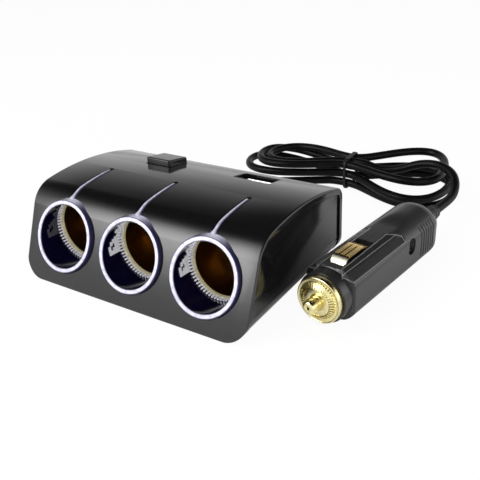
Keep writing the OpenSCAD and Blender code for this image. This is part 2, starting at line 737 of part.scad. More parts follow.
tie_w = 2;
tie_t = 0.8;
tie_gap = 0.3;
tie_side_gap = 1.1;
tie_half = hank_pinch + cord_d / 2 + tie_side_gap;
tie_top = hank_low + waist_lift + hank_step * (hank_turns - 1) + cord_d / 2 + tie_gap;
tie_low = hank_low + waist_lift - cord_d / 2 - tie_gap;
module twist_tie() color("#0b0b0c")
  translate([hank_x, hank_y, (tie_top + tie_low) / 2]) rotate([0, 0, hank_angle])
    rotate([90, 0, 90]) translate([0, 0, -tie_w / 2]) linear_extrude(tie_w)
      difference() {
        polygon(rounded_box(2 * (tie_half + tie_t), tie_top - tie_low + 2 * tie_t, cord_d / 2));
        polygon(rounded_box(2 * tie_half, tie_top - tie_low, cord_d / 2));
      }

// Plug body: stations along its axis with half width, half height and corner radius
nose_back = 7.8;
collar_end = 12;
shoulder_at = 13;
grip_at = 46;
grip_run = 6;
grip_tail = 6.4;
relief_len = 13;
body_end = plug_len - relief_len;
grip_back = body_end - grip_tail;
grip_wide = grip_back - grip_run;
collar_share = 0.94;
grip_rise = 1;
waist_share = 0.975;
end_share = 0.6;
corner_out = 1;
half_w = plug_w / 2;
half_h = plug_h / 2;
function mirrored(points) = concat(
  [for (p = points) [p[1], p[0]]],
  [for (i = [len(points) - 1:-1:0]) [-points[i][1], points[i][0]]]);
function rounded_end(r) =
  [for (i = [0:corner_steps]) let (a = 90 * i / corner_steps)
    [grip_back + grip_tail * sin(a), r * (end_share + (1 - end_share) * cos(a))]];
plan_stations = concat(
  [[nose_back, half_w], [shoulder_at, half_w], [grip_at, half_w * waist_share], [grip_wide, half_w]],
  rounded_end(half_w));
side_stations = concat(
  [[nose_back, half_h], [shoulder_at, half_h * waist_share],
   [grip_at, half_h], [grip_wide, half_h + grip_rise]],
  rounded_end(half_h + grip_rise));
round_stations = concat(
  [[nose_back, half_w * collar_share], [collar_end, half_w * collar_share],
   [shoulder_at, half_h + corner_out * waist_share], [grip_at, half_h + corner_out]],
  rounded_end(half_h + corner_out));
module plug_form() intersection() {
  translate([0, 0, -half_h - cut_over])
    linear_extrude(plug_h + 2 * cut_over) polygon(mirrored(plan_stations));
  rotate([0, -90, 0]) translate([0, 0, -half_w - cut_over])
    linear_extrude(plug_w + 2 * cut_over) polygon(mirrored(side_stations));
  turned() polygon(concat([[0, nose_back]], [for (p = round_stations) [p[1], p[0]]], [[0, body_end]]));
}

// Boat-shaped panel along the upper shoulder of each half: two facets that meet in a ridge
panel_from = 10.8;
panel_to = 45.6;
panel_tip = [6.4, 1.1];
panel_angles = [64, 52];
panel_dist = [9.87, 9.97];
panel_ridge = [1.57, 0.52];
panel_reach = [1.5, 3.4];
ridge_over = 0.8;
module facet(k) rotate([0, -panel_angles[k], 0])
  translate([panel_dist[k], 0, 0]) rotate([0, 90, 0]) linear_extrude(cut_over)
    polygon(k == 0
      ? [[-panel_reach[0], panel_from], [panel_ridge[0] + ridge_over, panel_from],
         [panel_ridge[0] + ridge_over, panel_to - ridge_over], [panel_ridge[0], panel_to],
         [-panel_reach[0], panel_to - panel_tip[0]]]
      : [[-panel_ridge[1] - ridge_over, panel_from], [panel_reach[1], panel_from],
         [panel_reach[1], panel_to - panel_tip[1]], [-panel_ridge[1], panel_to],
         [-panel_ridge[1] - ridge_over, panel_to - ridge_over]]);
module panel() {
  facet(0);
  facet(1);
}

// Bores inside the plug
thread_r = 6;
thread_end = 13;
fuse_room_r = fuse_d / 2 + slide_gap;
pin_flange_r = 3;
pin_flange_t = 1.2;
fuse_coil_r = 2.3;
fuse_wire = 0.6;
fuse_coils = 5;
fuse_start = thread_end + pin_flange_t + run_gap;
fuse_end = fuse_start + fuse_l;
fuse_spring_l = pin_travel + (fuse_coils + 1) * fuse_wire;
wire_duct_r = 0.9;
wire_duct_down = 3.6;
seat_at = fuse_end + fuse_spring_l;
seat_t = 1;
hole_behind = 2.1;
hole_at = seat_at + seat_t + hole_behind;
wire_room_behind = 3;
wire_room_start = hole_at + wire_room_behind;
wire_room_r = 5;
end_wall = 5;
wire_room_end = body_end - end_wall;
relief_neck_r = 2.6;
contact_w = 5.6;
contact_t_side = 0.5;
contact_from = 15;
contact_to = 33;
pocket_z = 4.6;
hole_angle = 17;
hole_r = 2.2;
hole_long = 2.9;
rib_before = 9.4;
rib_from = grip_back - rib_before;
rib_step = 1.72;
rib_count = 6;
rib_w = 0.75;
rib_deep = 0.5;

module plug_hollow() {
  disc_between(thread_r + run_gap, nose_back - cut_over, thread_end);
  disc_between(fuse_room_r, thread_end - run_gap, seat_at + seat_t + run_gap);
  disc_between(wire_room_r, wire_room_start, wire_room_end);
  translate([0, 0, -wire_duct_down]) disc_between(wire_duct_r, fuse_end, wire_room_start + cut_over);
  disc_between(relief_neck_r + run_gap, wire_room_end - run_gap, body_end + cut_over);
  for (m = [0, 1]) mirror([0, 0, m])
    translate([-contact_w / 2 - slide_gap, contact_from - slide_gap, pocket_z])
      cube([contact_w + 2 * slide_gap, contact_to - contact_from + 2 * slide_gap, half_h]);
}
module screw_hole()
  rotate([0, -hole_angle, 0]) translate([-half_w, hole_at, 0]) rotate([0, 90, 0]) {
    cylinder(r = plug_screw_r + run_gap, h = plug_w + half_w, $fn = small_fine);
    translate([0, 0, half_w + plug_screw_in]) linear_extrude(plug_w)
      polygon(rounded_box(2 * hole_long, 2 * hole_r, hole_r - run_gap));
  }
plug_screw_r = 1;
plug_screw_in = 6.6;
rib_low_share = 0.43;
rib_high_share = 0.75;
module grip_ribs() for (k = [0:rib_count - 1])
  translate([half_w - rib_deep, rib_from + k * rib_step, -half_h * rib_low_share])
    cube([cut_over, rib_w, half_h * (rib_low_share + rib_high_share)]);

module plug_half(side) color("#151618") at_plug() difference() {
  intersection() {
    plug_form();
    translate([side > 0 ? run_gap / 2 : -plug_w, 0, -plug_h])
      cube([plug_w - run_gap / 2, plug_len, 2 * plug_h]);
  }
  plug_hollow();
  mirror([side > 0 ? 0 : 1, 0, 0]) {
    panel();
    grip_ribs();
  }
  screw_hole();
}
module plug_shell_right() plug_half(1);
module plug_shell_left() plug_half(-1);
module plug_screw() color("#77797c") at_plug()
  rotate([0, -hole_angle, 0]) translate([-half_w / 2, hole_at, 0]) rotate([0, 90, 0]) {
    cylinder(r = plug_screw_r, h = half_w / 2 + plug_screw_in, $fn = small_fine);
    translate([0, 0, half_w / 2 + plug_screw_in])
      cylinder(r = hole_r - seat_gap, h = plug_screw_r, $fn = small_fine);
  }

// Metal nose: domed front with a knurled band, wide flange, threaded neck
nose_tip = 4.4;
nose_front_r = 3.4;
knurl_r = 6.2;
knurl_at = 6.1;
flange_at = 6.5;
flange_t = 1.2;
knurl_count = 40;
knurl_w = 0.35;
knurl_in_r = 4.8;
nose_edge = 0.4;
module plug_nose() color("#d9b84f") at_plug() {
  turned() polygon([
      [pin_d / 2 + run_gap, nose_tip],
      [nose_front_r, nose_tip],
      [knurl_in_r, nose_tip + nose_edge],
      [knurl_r - nose_edge, knurl_at],
      [nose_d / 2 - nose_edge, flange_at],
      [nose_d / 2, flange_at + nose_edge],
      [nose_d / 2, flange_at + flange_t],
      [thread_r, flange_at + flange_t],
      [thread_r, thread_end - run_gap],
      [pin_d / 2 + run_gap, thread_end - run_gap]]);
  for (k = [0:knurl_count - 1]) rotate([0, 360 / knurl_count * k, 0])
    translate([knurl_in_r - knurl_w, nose_tip + nose_edge + knurl_w / 2, -knurl_w / 2])
      cube([knurl_r - knurl_in_r + knurl_w, flange_at - nose_tip - nose_edge, knurl_w]);
}
pin_step = 2.4;
pin_head_share = 0.78;
pin_round = 0.6;
pin_dimple_r = 0.6;
module plug_pin() color("#e0c46a") at_plug()
  turned() polygon(concat(
    [[0, pin_dimple_r], [pin_dimple_r, 0]],
    arc([pin_d / 2 * pin_head_share - pin_round, pin_round], pin_round, 270, 360, corner_steps),
    [[pin_d / 2 * pin_head_share, pin_step], [pin_d / 2, pin_step + pin_round],
     [pin_d / 2, fuse_start - pin_flange_t - run_gap],
     [pin_flange_r, fuse_start - pin_flange_t - run_gap],
     [pin_flange_r, fuse_start - run_gap], [0, fuse_start - run_gap]]));

cap_l = 6;
cap_t = 0.35;
module fuse_glass() color("#dfe8ee") at_plug()
  turned() polygon([
    [fuse_d / 2 - 2 * cap_t, fuse_start + cap_t + run_gap],
    [fuse_d / 2 - cap_t - run_gap, fuse_start + cap_t + run_gap],
    [fuse_d / 2 - cap_t - run_gap, fuse_end - cap_t - run_gap],
    [fuse_d / 2 - 2 * cap_t, fuse_end - cap_t - run_gap]]);
module fuse_caps() color("#c3c6ca") at_plug()
  for (p = [[fuse_start, 1], [fuse_end, -1]]) turned() polygon([
    [0, p[0]], [fuse_d / 2, p[0]], [fuse_d / 2, p[0] + p[1] * cap_l],
    [fuse_d / 2 - cap_t, p[0] + p[1] * cap_l],
    [fuse_d / 2 - cap_t, p[0] + p[1] * cap_t],
    [0, p[0] + p[1] * cap_t]]);
module fuse_spring() color("#b9bcc0") at_plug() translate([0, fuse_end + run_gap, 0]) rotate([-90, 0, 0])
  spring(fuse_coil_r, fuse_wire, fuse_spring_l - 2 * run_gap, fuse_coils);
module spring_seat() color("#c9a227") at_plug()
  disc_between(fuse_room_r - run_gap, seat_at, seat_at + seat_t - run_gap);

// Side contact: a bent strip that pivots at its rear end
contact_high = contact_span / 2;
eye_r = 0.5;
eye_at = contact_to + slide_gap - eye_r - run_gap;
eye_z = pocket_z + eye_r + run_gap;
contact_rise = 2;
contact_slope = 6;
contact_nose = 3.2;
contact_drop = 0.6;
contact_stations = [
  [eye_at + contact_t_side / 2, eye_z], [contact_to - contact_rise, half_h - contact_drop],
  [contact_to - contact_slope, contact_high], [contact_from + contact_nose, contact_high],
  [contact_from + contact_drop, half_h - contact_rise]];
module side_contact() color("#d9b84f")
  rotate([90, 0, 90]) translate([0, 0, -contact_w / 2]) linear_extrude(contact_w) {
    translate([eye_at, eye_z]) circle(r = eye_r, $fn = small_fine);
    polygon(concat(contact_stations,
      [for (i = [len(contact_stations) - 1:-1:0]) contact_stations[i] + (i == 0 ? [-contact_t_side, 0]
        : i == 1 ? [-contact_t_side, -contact_t_side] : i == len(contact_stations) - 1 ? [contact_t_side, 0]
        : [0, -contact_t_side])]));
  }
module side_contact_top() at_plug() side_contact();
module side_contact_bottom() at_plug() mirror([0, 0, 1]) side_contact();

relief_r = 4.2;
relief_tip_r = 2.7;
relief_grooves = 5;
module strain_relief() color("#131416") at_plug() rotate([-90, 0, 0]) {
  translate([0, 0, wire_room_end - gland_flange_t - run_gap])
    cylinder(r = wire_room_r - seat_gap, h = gland_flange_t, $fn = fine);
  translate([0, 0, wire_room_end - 2 * run_gap])
    cylinder(r = relief_neck_r, h = end_wall + seat_gap + 2 * run_gap, $fn = fine);
  translate([0, 0, body_end + seat_gap])
    boot(plug_len - body_end - seat_gap, relief_r, relief_tip_r, relief_grooves);
}

top_cover();
base_housing();
housing_screws();
light_guide_left();
light_guide_middle();
light_guide_right();
socket_sleeve_left();
socket_sleeve_middle();
socket_sleeve_right();
tooth_ring_left();
tooth_ring_middle();
tooth_ring_right();
socket_barrel_left();
socket_barrel_middle();
socket_barrel_right();
ground_clip_left();
ground_clip_middle();
ground_clip_right();
contact_insulators();
centre_contact_left();
centre_contact_middle();
centre_contact_right();
contact_spring_left();
contact_spring_middle();
contact_spring_right();
ground_bus();
supply_bus();
led_board();
guide_leds();
circuit_board();
board_parts();
usb_shell();
usb_tongue();
switch_button();
switch_body();
switch_spring();
cord_gland();
cord_to_hank();
cord_hank();
cord_to_plug();
twist_tie();
plug_shell_right();
plug_shell_left();
plug_screw();
plug_nose();
plug_pin();
fuse_glass();
fuse_caps();
fuse_spring();
spring_seat();
side_contact_top();
side_contact_bottom();
strain_relief();
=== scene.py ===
"""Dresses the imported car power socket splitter: finishes, the cord, and the pieces that need a
finer shape than their solids. Everything is in metres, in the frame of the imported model."""
import json
import math

import bmesh
import bpy
from mathutils import Matrix, Vector


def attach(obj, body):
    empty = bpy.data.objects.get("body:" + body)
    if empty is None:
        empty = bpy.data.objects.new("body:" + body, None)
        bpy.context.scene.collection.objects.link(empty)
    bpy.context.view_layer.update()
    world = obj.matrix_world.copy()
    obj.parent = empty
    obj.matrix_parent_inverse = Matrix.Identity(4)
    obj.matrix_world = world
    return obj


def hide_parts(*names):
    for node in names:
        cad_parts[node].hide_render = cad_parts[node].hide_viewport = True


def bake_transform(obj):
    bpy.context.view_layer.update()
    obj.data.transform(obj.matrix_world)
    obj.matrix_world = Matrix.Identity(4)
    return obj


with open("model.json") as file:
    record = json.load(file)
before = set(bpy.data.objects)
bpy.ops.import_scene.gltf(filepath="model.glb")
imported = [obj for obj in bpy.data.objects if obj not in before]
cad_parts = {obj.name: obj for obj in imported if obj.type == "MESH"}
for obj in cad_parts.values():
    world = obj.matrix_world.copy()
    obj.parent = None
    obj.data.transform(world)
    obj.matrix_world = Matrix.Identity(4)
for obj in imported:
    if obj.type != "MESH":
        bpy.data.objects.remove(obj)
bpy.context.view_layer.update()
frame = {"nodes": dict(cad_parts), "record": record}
MM = 0.001

# Sizes shared with the part's source, in millimetres and degrees
BODY_W, BODY_D, CREST_H, CREST_BACK = 100.0, 69.2, 33.3, 34.0
FACE_LEAN, TOP_R, BROW_R, REAR_R, LOW_R = 22.6, 105.0, 11.3, 5.0, 8.9
COVER_WALL, SIDE_WALL, SIDE_RECESS, FLOOR_T = 2.4, 2.2, 0.8, 1.6
PITCH, SOCKET_UP, SOCKET_DIP = 31.3, 18.5, 4.5
RING_OD, RING_ID, RING_PROUD, RING_SUNK = 26.8, 23.2, 1.4, 1.5
TAIL_W, TAIL_TIP_W, TAIL_PROUD = 1.9, 1.1, 0.3
CORD_D = 3.6
GLAND = (-30.0, 49.0, 11.0)
PLUG_TIP = (63.6, -19.4, 10.5)
PLUG_HEADING = 8.0
PLUG_LEN = 84.0
CORD_END = 66.5  # where the cord ends inside the plug, behind the plug's tip
CORD_STEP = 1.5
FREE_STEPS = 6


def sind(a):
    return math.sin(math.radians(a))


def cosd(a):
    return math.cos(math.radians(a))


# Camera and cord

def aim_camera():
    """Camera at the photograph's place: its three axes and its point were solved from the rings."""
    right = Vector((0.83860, 0.54187, -0.05594))
    up = Vector((-0.20989, 0.41617, 0.88473))
    back = Vector((0.50269, -0.73019, 0.46273))
    turn = Matrix((right, up, back)).transposed().to_4x4()
    data = bpy.data.cameras.new("photo_camera")
    data.sensor_width, data.lens, data.clip_start = 36.0, 48.93, 0.01
    camera = link("photo_camera", data)
    camera.matrix_world = Matrix.Translation(Vector((142.11, -167.51, 122.62)) * MM) @ turn
    bpy.context.scene.camera = camera


def catmull(points, steps):
    """The smooth line through the points that the part's source uses for the free stretches."""
    points = [Vector(p) for p in points]
    line = []
    for i in range(len(points) - 1):
        a, b = points[max(i - 1, 0)], points[i]
        c, d = points[i + 1], points[min(i + 2, len(points) - 1)]
        for k in range(steps):
            f = k / steps
            line.append(0.5 * (2 * b + (c - a) * f + (2 * a - 5 * b + 4 * c - d) * f * f
                               + (3 * b - a - 3 * c + d) * f ** 3))
    line.append(points[-1])
    return line


HANK = {"x": 25, "y": 97, "angle": 2, "pinch": 4.6, "step": 4.4, "low": 2, "lift": 1.1, "turns": 3,
        "reach_right": [47, 45.5, 41.5], "far_right": [40, 34, 53], "near_right": [32.5, 40, 22],
        "reach_left": [52.5, 45.5, 41], "far_left": [24.5, 26, 21], "near_left": [28, 28, 22],
        "fold": 0.28, "climb": (0.55, 0.75)}


def hank_level(t):
    """How many strands lie below the hank at t turns, easing up to the next while it climbs."""
    whole = min(math.floor(t + 1e-9), HANK["turns"] - 1)
    part = t - whole
    low, high = HANK["climb"]
    if whole == HANK["turns"] - 1 or part < low:
        return whole
    part = min(1, (part - low) / (high - low))
    return whole + part * part * (3 - 2 * part)


def hank_point(t):
    """Point of the figure-eight hank after t turns."""
    a = 270 + 360 * t
    turn = int(min(math.floor(t + 1e-9), HANK["turns"] - 1))
    side = "right" if cosd(a) > 0.001 else "left"
    depth = "near" if sind(a) < 0 else "far"
    wide = HANK[f"{depth}_{side}"][turn]
    pinch = HANK["pinch"] if t < HANK["turns"] - 0.25 else 0
    u = HANK[f"reach_{side}"][turn] * cosd(a)
    fold = HANK["fold"] ** 2
    opened = cosd(a) ** 2 * math.sqrt((1 + fold) / (cosd(a) ** 2 + fold))
    v = sind(a) * (pinch + (wide - pinch) * opened)
    c, s = cosd(HANK["angle"]), sind(HANK["angle"])
    return Vector((HANK["x"] + u * c - v * s, HANK["y"] + u * s + v * c,
                   HANK["low"] + HANK["lift"] * sind(a) ** 2 + HANK["step"] * hank_level(t)))


def plug_point(s, side=0.0, up=0.0):
    """Point in the plug's frame: behind its tip, to its right and up."""
    c, n = cosd(PLUG_HEADING), sind(PLUG_HEADING)
    return Vector((PLUG_TIP[0] + s * n + side * c, PLUG_TIP[1] + s * c - side * n, PLUG_TIP[2] + up))


def cord_path():
    """Middle line of the whole cord in millimetres, from the gland round the hank into the plug."""
    run = Vector((cosd(HANK["angle"]), sind(HANK["angle"]), 0))
    first, last = hank_point(0), hank_point(HANK["turns"])
    start = Vector(GLAND)
    route_in = [start + Vector((0, CORD_D, 0)), (-29.5, 58, 8.6), (-27, 64, 5.4), (-21, 71, 2.8), (-8, 81, 2),
                (6, 88, 2.3)]
    route_out = [(40, 98, 9.8), (48, 99.2, 11), (57, 100.5, 14.4), (66, 99.5, 15.4), (74, 92.5, 14.4),
                 (77.5, 81, 11.4)]
    inward = [start] + catmull(route_in + [first - 2 * CORD_D * run], FREE_STEPS) + [first - CORD_D * run]
    rings = 48
    hank = [hank_point(i / rings) for i in range(rings * HANK["turns"] + 1)]
    outward = [last + CORD_D * run]
    outward += catmull([last + 2 * CORD_D * run] + route_out + [plug_point(PLUG_LEN + CORD_D)], FREE_STEPS)
    return inward + hank + outward + [plug_point(PLUG_LEN), plug_point(CORD_END)]


def evened(points, step):
    """The same line with points a step apart."""
    lengths = [0.0]
    for a, b in zip(points, points[1:]):
        lengths.append(lengths[-1] + (b - a).length)
    count = max(2, round(lengths[-1] / step))
    line, j = [], 0
    for i in range(count + 1):
        at = lengths[-1] * i / count
        while j < len(points) - 2 and lengths[j + 1] < at:
            j += 1
        gap = lengths[j + 1] - lengths[j]
        line.append(points[j].lerp(points[j + 1], (at - lengths[j]) / gap if gap else 0))
    return line


def softened(points, rounds):
    """The same line with its small kinks eased, ends kept."""
    for _ in range(rounds):
        points = [points[0]] + [(a + 2 * b + c) / 4 for a, b, c in zip(points, points[1:], points[2:])] \
            + [points[-1]]
    return points


def link(name, data, material=None):
    """A new object for a mesh, a lamp or the camera, put in the scene."""
    piece = bpy.data.objects.new(name, data)
    bpy.context.scene.collection.objects.link(piece)
    if material:
        data.materials.append(material)
    return piece


def band(bm, a, b):
    """Faces between two rings of as many corners."""
    for k in range(len(a)):
        n = (k + 1) % len(a)
        bm.faces.new((a[k], a[n], b[n], b[k]))


def loft(bm, rings, joined=False):
    """One skin over closed loops of as many points, with its ends capped, or joined to each other."""
    made = [[bm.verts.new(p) for p in ring] for ring in rings]
    for a, b in zip(made, made[1:]):
        band(bm, a, b)
    if joined:
        band(bm, made[-1], made[0])
    else:
        bm.faces.new(list(reversed(made[0])))
        bm.faces.new(made[-1])


def tube(name, points, radius, sides, material):
    """A round tube along points given in metres, with a UV map along it."""
    bm = bmesh.new()
    uv = bm.loops.layers.uv.new("along")
    normal = Vector((0, 0, 1))
    rings, at, travelled = [], [], 0.0
    for i, p in enumerate(points):
        tangent = (points[min(i + 1, len(points) - 1)] - points[max(i - 1, 0)]).normalized()
        normal = (normal - tangent * normal.dot(tangent)).normalized()
        other = tangent.cross(normal)
        rings.append([p + radius * (math.cos(k) * normal + math.sin(k) * other)
                      for k in (2 * math.pi * j / sides for j in range(sides))])
        if i:
            travelled += (p - points[i - 1]).length
        at.append(travelled)
    loft(bm, rings)
    for index, face in enumerate(list(bm.faces)[:-2]):
        i, k = divmod(index, sides)
        face.smooth = True
        for loop, (u, v) in zip(face.loops, ((k, i), (k + 1, i), (k + 1, i + 1), (k, i + 1))):
            loop[uv].uv = (u / sides, at[v] / (2 * math.pi * radius))
    bmesh.ops.recalc_face_normals(bm, faces=bm.faces)
    mesh = bpy.data.meshes.new(name)
    bm.to_mesh(mesh)
    bm.free()
    return link(name, mesh, material)


# Finishes

def add_node(nodes, kind, **values):
    """A node with its inputs set by name, an underscore standing for a space."""
    node = nodes.new(kind)
    for socket, value in values.items():
        node.inputs[socket.replace("_", " ")].default_value = value
    return node


def wire(tree, *rows):
    """Links made from rows of node, output, node, input."""
    for source, out, target, into in rows:
        tree.links.new(source.outputs[out], target.inputs[into])


def finish(name, colour, rough, metal, mottle, mottle_size=900.0, grain=0.0, grain_size=2500.0,
           stretch=(1, 1, 1), rough_spread=0.05, **sockets):
    """A finish whose colour, roughness and fine relief all vary over the surface."""
    material = bpy.data.materials.new(name)
    material.use_nodes = True
    tree, nodes = material.node_tree, material.node_tree.nodes
    shader = nodes["Principled BSDF"]
    shader.inputs["Metallic"].default_value = metal
    for socket, value in sockets.items():
        shader.inputs[socket.replace("_", " ")].default_value = value
    mapping = add_node(nodes, "ShaderNodeMapping", Scale=stretch)
    wire(tree, (nodes.new("ShaderNodeTexCoord"), "Object", mapping, "Vector"))

    def noise(scale, detail):
        node = add_node(nodes, "ShaderNodeTexNoise", Scale=scale, Detail=detail)
        wire(tree, (mapping, "Vector", node, "Vector"))
        return node

    cloud = noise(mottle_size, 3.0)
    ramp = nodes.new("ShaderNodeValToRGB")
    for stop, at, shade in zip(ramp.color_ramp.elements, (0.3, 0.7), (1 - mottle, 1 + mottle)):
        stop.position = at
        stop.color = (*[min(1, c * shade) for c in colour], 1)
    spread = add_node(nodes, "ShaderNodeMapRange", To_Min=max(0.02, rough - rough_spread),
                      To_Max=rough + rough_spread)
    wire(tree, (cloud, "Fac", ramp, "Fac"), (ramp, "Color", shader, "Base Color"), (cloud, "Fac", spread, "Value"),
         (spread, "Result", shader, "Roughness"))
    if grain:
        bump = add_node(nodes, "ShaderNodeBump", Strength=grain, Distance=0.0002)
        wire(tree, (noise(grain_size, 2.0), "Fac", bump, "Height"), (bump, "Normal", shader, "Normal"))
    return material


# Of each finish: colour, roughness, metal, mottle, and what differs from the usual values
FINISH_ROWS = {
    "gloss_black": ((0.005, 0.005, 0.0055), 0.12, 0.0, 0.15, dict(grain=0.02, grain_size=400, rough_spread=0.02)),
    "satin_black": ((0.016, 0.016, 0.017), 0.32, 0.0, 0.2, dict(grain=0.12)),
    "matt_black": ((0.018, 0.018, 0.019), 0.5, 0.0, 0.2, dict(grain=0.2)),
    "soft_black": ((0.014, 0.014, 0.015), 0.55, 0.0, 0.2, dict(grain=0.2)),
    "cord_rubber": ((0.003, 0.003, 0.003), 0.36, 0.0, 0.2,
                    dict(mottle_size=300, grain=0.1, Specular_IOR_Level=0.10)),
    "guide_plastic": ((0.55, 0.54, 0.66), 0.30, 0.0, 0.22,
                      dict(mottle_size=700, grain=0.1, Specular_IOR_Level=0.35)),
    "sleeve_plastic": ((0.0015, 0.0015, 0.012), 0.12, 0.0, 0.25, dict(grain=0.05, grain_size=500)),
    "bright_metal": ((0.80, 0.81, 0.83), 0.16, 1.0, 0.08, dict(grain=0.1, stretch=(1, 1, 8))),
    "brass_plate": ((0.86, 0.64, 0.26), 0.20, 1.0, 0.12, dict(grain=0.12, stretch=(1, 6, 1))),
    "spring_steel": ((0.55, 0.56, 0.58), 0.3, 1.0, 0.1, dict(grain=0.1)),
    "screw_steel": ((0.40, 0.40, 0.42), 0.35, 1.0, 0.15, dict(grain=0.15)),
    "insulator": ((0.62, 0.55, 0.40), 0.6, 0.0, 0.15, dict(grain=0.2)),
    "board": ((0.03, 0.16, 0.08), 0.4, 0.0, 0.2, dict(grain=0.1)),
    "board_part": ((0.05, 0.05, 0.055), 0.5, 0.0, 0.2, dict(grain=0.2)),
    "lamp": ((0.85, 0.87, 0.95), 0.2, 0.0, 0.05, dict()),
    "white_plastic": ((0.75, 0.75, 0.74), 0.4, 0.0, 0.05, dict(grain=0.1)),
    "barrel_brass": ((0.28, 0.155, 0.04), 0.30, 1.0, 0.12, dict(mottle_size=120, grain=0.04, stretch=(1, 4, 1))),
    "tooth_metal": ((0.90, 0.90, 0.97), 0.35, 0.2, 0.05, dict(grain=0.05)),
    "lip_gold": ((0.80, 0.72, 0.44), 0.32, 0.5, 0.12, dict(grain=0.05)),
    # Darker copy of the clip's metal, for the clip that lies in shade: painted shade.
    "clip_painted_shade": ((0.07, 0.07, 0.085), 0.30, 0.3, 0.08, dict(grain=0.1)),
    "clip_metal": ((0.88, 0.88, 0.93), 0.30, 0.3, 0.08, dict(grain=0.1)),
    "tab_silver": ((0.50, 0.48, 0.38), 0.30, 1.0, 0.12, dict(grain=0.1)),
    "plug_gold": ((0.76, 0.68, 0.36), 0.22, 1.0, 0.12, dict(grain=0.1)),
    "strip_gold": ((0.85, 0.60, 0.24), 0.24, 1.0, 0.12, dict(grain=0.1, stretch=(4, 1, 1))),
    "button_black": ((0.006, 0.006, 0.007), 0.22, 0.0, 0.15, dict(grain=0.05, Specular_IOR_Level=0.35)),
    "plug_black": ((0.011, 0.011, 0.0115), 0.31, 0.0, 0.2, dict(grain=0.06)),
    # Light grey for the plug panel's edge beads: painted highlight.
    "edge_painted_highlight": ((0.13, 0.13, 0.132), 0.30, 0.0, 0.15, dict(grain=0.05)),
    "tie_black": ((0.006, 0.006, 0.006), 0.4, 0.0, 0.2, dict(grain=0.1, Specular_IOR_Level=0.3)),
    "fuse_glass": ((0.85, 0.90, 0.92), 0.05, 0.0, 0.02, dict(Transmission_Weight=0.9)),
}
FINISHES = {name: finish(name, *row, **more) for name, (*row, more) in FINISH_ROWS.items()}


MIX_FIRST, MIX_SECOND, MIX_RESULT = 6, 7, 2  # the colour sockets of a Mix node


def paint_shade_by(material, attribute, colour):
    """Mixes a second, darker colour in by a value from 0 to 1 kept on the mesh: painted shade."""
    tree, nodes = material.node_tree, material.node_tree.nodes
    shader = nodes["Principled BSDF"]
    first = shader.inputs["Base Color"].links[0].from_node
    share, mix = nodes.new("ShaderNodeAttribute"), nodes.new("ShaderNodeMix")
    share.attribute_name, mix.data_type = attribute, "RGBA"
    mix.inputs[MIX_SECOND].default_value = (*colour, 1)
    wire(tree, (share, "Fac", mix, "Factor"), (first, "Color", mix, MIX_FIRST),
         (mix, MIX_RESULT, shader, "Base Color"))


# The light guides' walls and the tails' sides take this dark colour by their "rim" values: painted shade. The outer
# wall stays lighter at the tail's root as a painted highlight.
paint_shade_by(FINISHES["guide_plastic"], "rim", (0.016, 0.014, 0.045))
slot_of = {s["node"]: s["material_slot"] for s in frame["record"]["subparts"]}
for node, piece in frame["nodes"].items():
    piece.data.materials.clear()
    piece.data.materials.append(FINISHES[slot_of[node]])

aim_camera()
path = [p * MM for p in softened(evened(cord_path(), CORD_STEP), 2)]
cord = tube("cord", path, CORD_D / 2 * MM, 16, FINISHES["cord_rubber"])
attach(cord, "splitter")
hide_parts("cord_to_hank", "cord_hank", "cord_to_plug")


# The housing's side curve

FACE_DIR = Vector((sind(FACE_LEAN), cosd(FACE_LEAN)))
FACE_IN = Vector((cosd(FACE_LEAN), -sind(FACE_LEAN)))
TOP_C = Vector((CREST_BACK, CREST_H - TOP_R))


def side_curve():
    """Centres and angles of the brow, the long top and the rear edge, front foot at 0."""
    foot = FACE_IN * BROW_R
    b = FACE_DIR.dot(foot - TOP_C)
    q = (foot - TOP_C).length_squared - (TOP_R - BROW_R) ** 2
    brow = foot + FACE_DIR * (math.sqrt(b * b - q) - b)
    rear_y = BODY_D - REAR_R
    rear = Vector((rear_y, TOP_C.y + math.sqrt((TOP_R - REAR_R) ** 2 - (rear_y - CREST_BACK) ** 2)))
    brow_end = math.degrees(math.atan2(brow.y - TOP_C.y, brow.x - TOP_C.x))
    rear_end = math.degrees(math.atan2(rear.y - TOP_C.y, rear.x - TOP_C.x))
    return brow, rear, brow_end, rear_end


BROW_C, REAR_C, BROW_END, REAR_END = side_curve()


def arc(centre, radius, a0, a1, steps):
    """Points on an arc in a plane, both ends with it."""
    return [Vector((centre[0] + radius * cosd(a0 + (a1 - a0) * i / steps),
                    centre[1] + radius * sind(a0 + (a1 - a0) * i / steps))) for i in range(steps + 1)]


def skin(inset):
    """Front face's top, brow, top and rear edge in the side view, moved inwards."""
    return (arc(BROW_C, BROW_R - inset, 180 - FACE_LEAN, BROW_END, 26)[:-1]
            + arc(TOP_C, TOP_R - inset, BROW_END, REAR_END, 60)[:-1]
            + arc(REAR_C, REAR_R - inset, REAR_END, 0, 14))


def skin_z(y, inset=0.0):
    """Height of the long top at a distance y behind the front foot."""
    return TOP_C.y + math.sqrt((TOP_R - inset) ** 2 - (y - CREST_BACK) ** 2)


def side_section(inset, sink):
    """The housing's side view moved inwards, its open foot lowered."""
    foot = Vector((inset / cosd(FACE_LEAN) - sink * math.tan(math.radians(FACE_LEAN)), -sink))
    return [foot] + skin(inset) + [Vector((BODY_D - inset, -sink))]


# Mesh tools, all in millimetres

def prism(points, low, high, place):
    """A straight prism: place(u, v, w) puts its outline's u, v and its length w in the frame."""
    bm = bmesh.new()
    loft(bm, [[place(p[0], p[1], w) for p in points] for w in (low, high)])
    return bm


